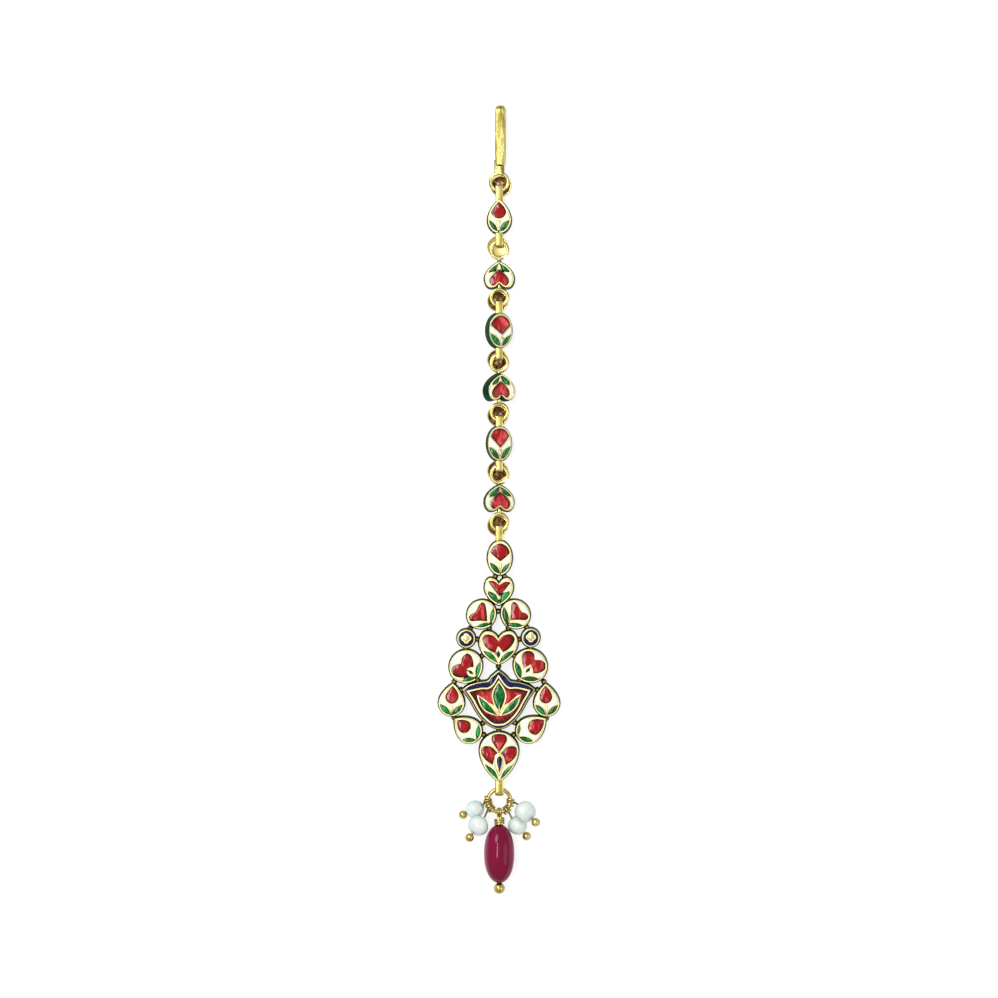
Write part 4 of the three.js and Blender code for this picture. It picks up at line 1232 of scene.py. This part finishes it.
def build_drops(middle_y):
    def place(points):
        return points + (axis_x, middle_y, RING_HEIGHT)

    ring = Shape(place)
    ring.lathe([(JUMP_RING_RADIUS + JUMP_WIRE_RADIUS * math.cos(t), JUMP_WIRE_RADIUS * math.sin(t))
                for t in round_turns(16)], 64)
    finish_piece("ring_jump", ring, [WIRE_GOLD], ["jump_ring"])
    support = None
    for number, (name, degrees, radius, right, down, pin, leans) in enumerate(PEARL_DROPS):
        angle = math.radians(degrees)
        centre = np.array([right, -down, 0]) * JUMP_RING_RADIUS
        centre[2] = radius + CLEARANCE / 4 - RING_HEIGHT
        if leans:
            apart = math.hypot(*(centre[:2] - support[0][:2]))
            centre[2] = support[0][2] + math.sqrt(max((radius + support[1] + CLEARANCE) ** 2 - apart ** 2, 0))
        support = (centre, radius)
        way = unit(np.array(pin))
        build_pearl(name, number, place, centre, radius, way)
        entry = centre - way * (radius + CLEARANCE)
        ball = centre + way * (radius + PEARL_BALL_RADIUS + CLEARANCE)
        start = np.array([math.cos(angle), math.sin(angle), 0]) * (JUMP_RING_RADIUS + WRAP_RADIUS)
        wire = Shape(place)
        wire.tube(wraps(angle, WRAP_TURNS), WIRE_RADIUS)
        wire.tube([start + (entry - start) * s for s in np.linspace(0, 1, 8)], WIRE_RADIUS)
        wire.tube([entry + (ball - entry) * s for s in np.linspace(-0.02, 1, 8)], WIRE_RADIUS)
        wire.blob(ball, (PEARL_BALL_RADIUS,) * 3, sides=28, rows=18)
        finish_piece(f"wire_{name}", wire, [WIRE_GOLD], [f"pin_{name}"])
    build_ruby(place)


def build_pearl(name, number, place, centre, radius, way):
    """A slightly uneven pearl, dimpled where the wire goes in and out."""
    side = unit(np.cross(way, (0, 0, 1.0)))
    up = np.cross(side, way)
    rings = []
    turns = round_turns(48)[:, None]
    for tilt in np.linspace(-math.pi / 2, math.pi / 2, 37)[1:-1]:
        cos, sin = math.cos(tilt), math.sin(tilt)
        uneven = PEARL_FULLNESS + PEARL_WAVE * np.sin(2 * turns + number * 1.7 + 3 * tilt) * cos
        uneven += PEARL_RIPPLE * math.sin(3 * tilt + number) * cos
        along = sin * (1 - PEARL_DIMPLE * abs(sin) ** 24)
        spread = side * np.cos(turns) + up * np.sin(turns)
        rings.append(centre + radius * uneven * (way * along + cos * spread))
    pearl = Shape(place)
    pearl.loft(rings)
    finish_piece(f"bead_{name}", pearl, [PEARL], [f"pearl_{name}"], 60)


def build_ruby(place):
    height = RUBY_WIDTH / 2 - RING_HEIGHT
    top_y = -JUMP_RING_RADIUS * 2
    middle_y = top_y - RUBY_LENGTH / 2
    turns = round_turns(72)
    rings = []
    rows = 44
    for k in range(1, rows):
        share = math.cos(math.pi * k / rows)
        full = math.sqrt(1 - abs(share) ** 2.3)
        flutes = 1 - FLUTE_DEPTH * full * (1 - abs(np.sin(4.5 * turns + 0.25 * share)) ** 0.7)
        radius = RUBY_WIDTH / 2 * full * flutes
        y = np.full(len(turns), middle_y + RUBY_LENGTH / 2 * share)
        rings.append(np.column_stack([radius * np.cos(turns), y, height + radius * np.sin(turns)]))
    ruby = Shape(place)
    ruby.loft(rings)
    finish_piece("ruby_drop", ruby, [RUBY], ["ruby_bead"], 50)
    wire = Shape(place)
    entry_y = top_y + COIL_LENGTH + CLEARANCE
    inner_y = -JUMP_RING_RADIUS + WRAP_RADIUS
    over_y = -JUMP_RING_RADIUS + 0.1
    for side in (-1, 1):
        lift = side * WIRE_RADIUS * 1.1
        strand = [(over_y, -WRAP_RADIUS), (inner_y, -0.25), (inner_y, 0.25), (over_y, WRAP_RADIUS),
                  (-JUMP_RING_RADIUS - WRAP_RADIUS * 0.6, WRAP_RADIUS), (entry_y + 0.1, height + 0.1),
                  (entry_y - COIL_LENGTH, height)]
        wire.tube(smooth_path([(lift, y, z) for y, z in strand]), WIRE_RADIUS * 1.1)
    coil = []
    for i in range(COIL_TURNS * COIL_STEPS + 1):
        turn = 2 * math.pi * i / COIL_STEPS - math.pi / 2
        drop = (COIL_LENGTH + COIL_SINK) * i / (COIL_TURNS * COIL_STEPS)
        coil.append((COIL_RADIUS * math.cos(turn), entry_y - drop, height + COIL_RADIUS * math.sin(turn)))
    wire.tube(coil, WIRE_RADIUS * 1.05)
    ball_y = middle_y - RUBY_LENGTH / 2 - RUBY_BALL_RADIUS * 0.9
    wire.tube([(0, y, height) for y in np.linspace(entry_y, ball_y, 12)], WIRE_RADIUS)
    wire.blob((0, ball_y, height), (RUBY_BALL_RADIUS,) * 3, sides=32, rows=20)
    finish_piece("wire_ruby", wire, [WIRE_GOLD], ["pin_ruby"])


def smooth_path(points):
    """An open smooth path through points in space."""
    points = [np.array(p, float) for p in points]
    path = []
    for i in range(len(points) - 1):
        before = points[max(i - 1, 0)]
        here, there = points[i], points[i + 1]
        beyond = points[min(i + 2, len(points) - 1)]
        start, stop = (there - before) / 2, (beyond - here) / 2
        for s in np.linspace(0, 1, PATH_STEPS, endpoint=False):
            path.append(hermite(here, start, there, stop, s))
    return path + [points[-1]]


build_hook(hook_ring_y)
ring_y = hook_ring_y
for name, kind, degrees, above, below, slip in LINKS:
    over, under = (TIP_REACH, CLEFT_REACH) if kind["rings"] else (STRAP_REACH, STRAP_REACH)
    ring_y = build_link(name, kind, degrees, above, below, slip, ring_y - over * above) - under * below
cluster_tip = build_pendant(ring_y - STRAP_REACH * CLUSTER_PLAY)
build_drops(cluster_tip - BAIL_ROOM)

# Floor, light and camera

def build_floor():
    half = FLOOR_SIZE / 2
    mesh = bpy.data.meshes.new("floor")
    corners = [(-half, -half, 0), (half, -half, 0), (half, half, 0), (-half, half, 0)]
    mesh.from_pydata(corners, [], [(0, 1, 2, 3)])
    look, shader = principled("floor", 0.9, Base_Color=tone(150, 150, 149), Emission_Color=ON,
                              Emission_Strength=0.8, Specular_IOR_Level=0.0)
    mesh.materials.append(look)
    floor = add_object("floor", mesh)


def build_light(name, place, size, power, width=None):
    light = bpy.data.lights.new(name, "AREA")
    light.shape = "RECTANGLE" if width else "DISK"
    light.size = size
    light.size_y = width or size
    light.energy = power
    lamp = add_object(name, light)
    lamp.location = place
    lamp.rotation_euler = Vector(place).to_track_quat("Z", "Y").to_euler()


def build_camera():
    camera = bpy.data.cameras.new("camera")
    camera.lens = LENS
    camera.sensor_width = SENSOR
    camera.clip_start = 0.01
    seat = add_object("camera", camera)
    seat.location = (0, 0, FOCUS_HEIGHT + VIEW_WIDTH * LENS / SENSOR)
    bpy.context.scene.camera = seat


build_floor()
build_light("key", (-0.32, 0.36, 0.62), 0.4, 2.2)
build_light("fill", (0.5, -0.1, 0.5), 0.5, 0.6)
build_light("strip", (-0.34, 0.04, 1.4), 0.7, 4.4, 0.13)
build_camera()
world = bpy.data.worlds.new("studio")
world.use_nodes = True
sky = world.node_tree.nodes["Background"]
sky.inputs["Color"].default_value = ON
sky.inputs["Strength"].default_value = SKY_STRENGTH
bpy.context.scene.world = world
bpy.context.scene.view_settings.view_transform = "Standard"
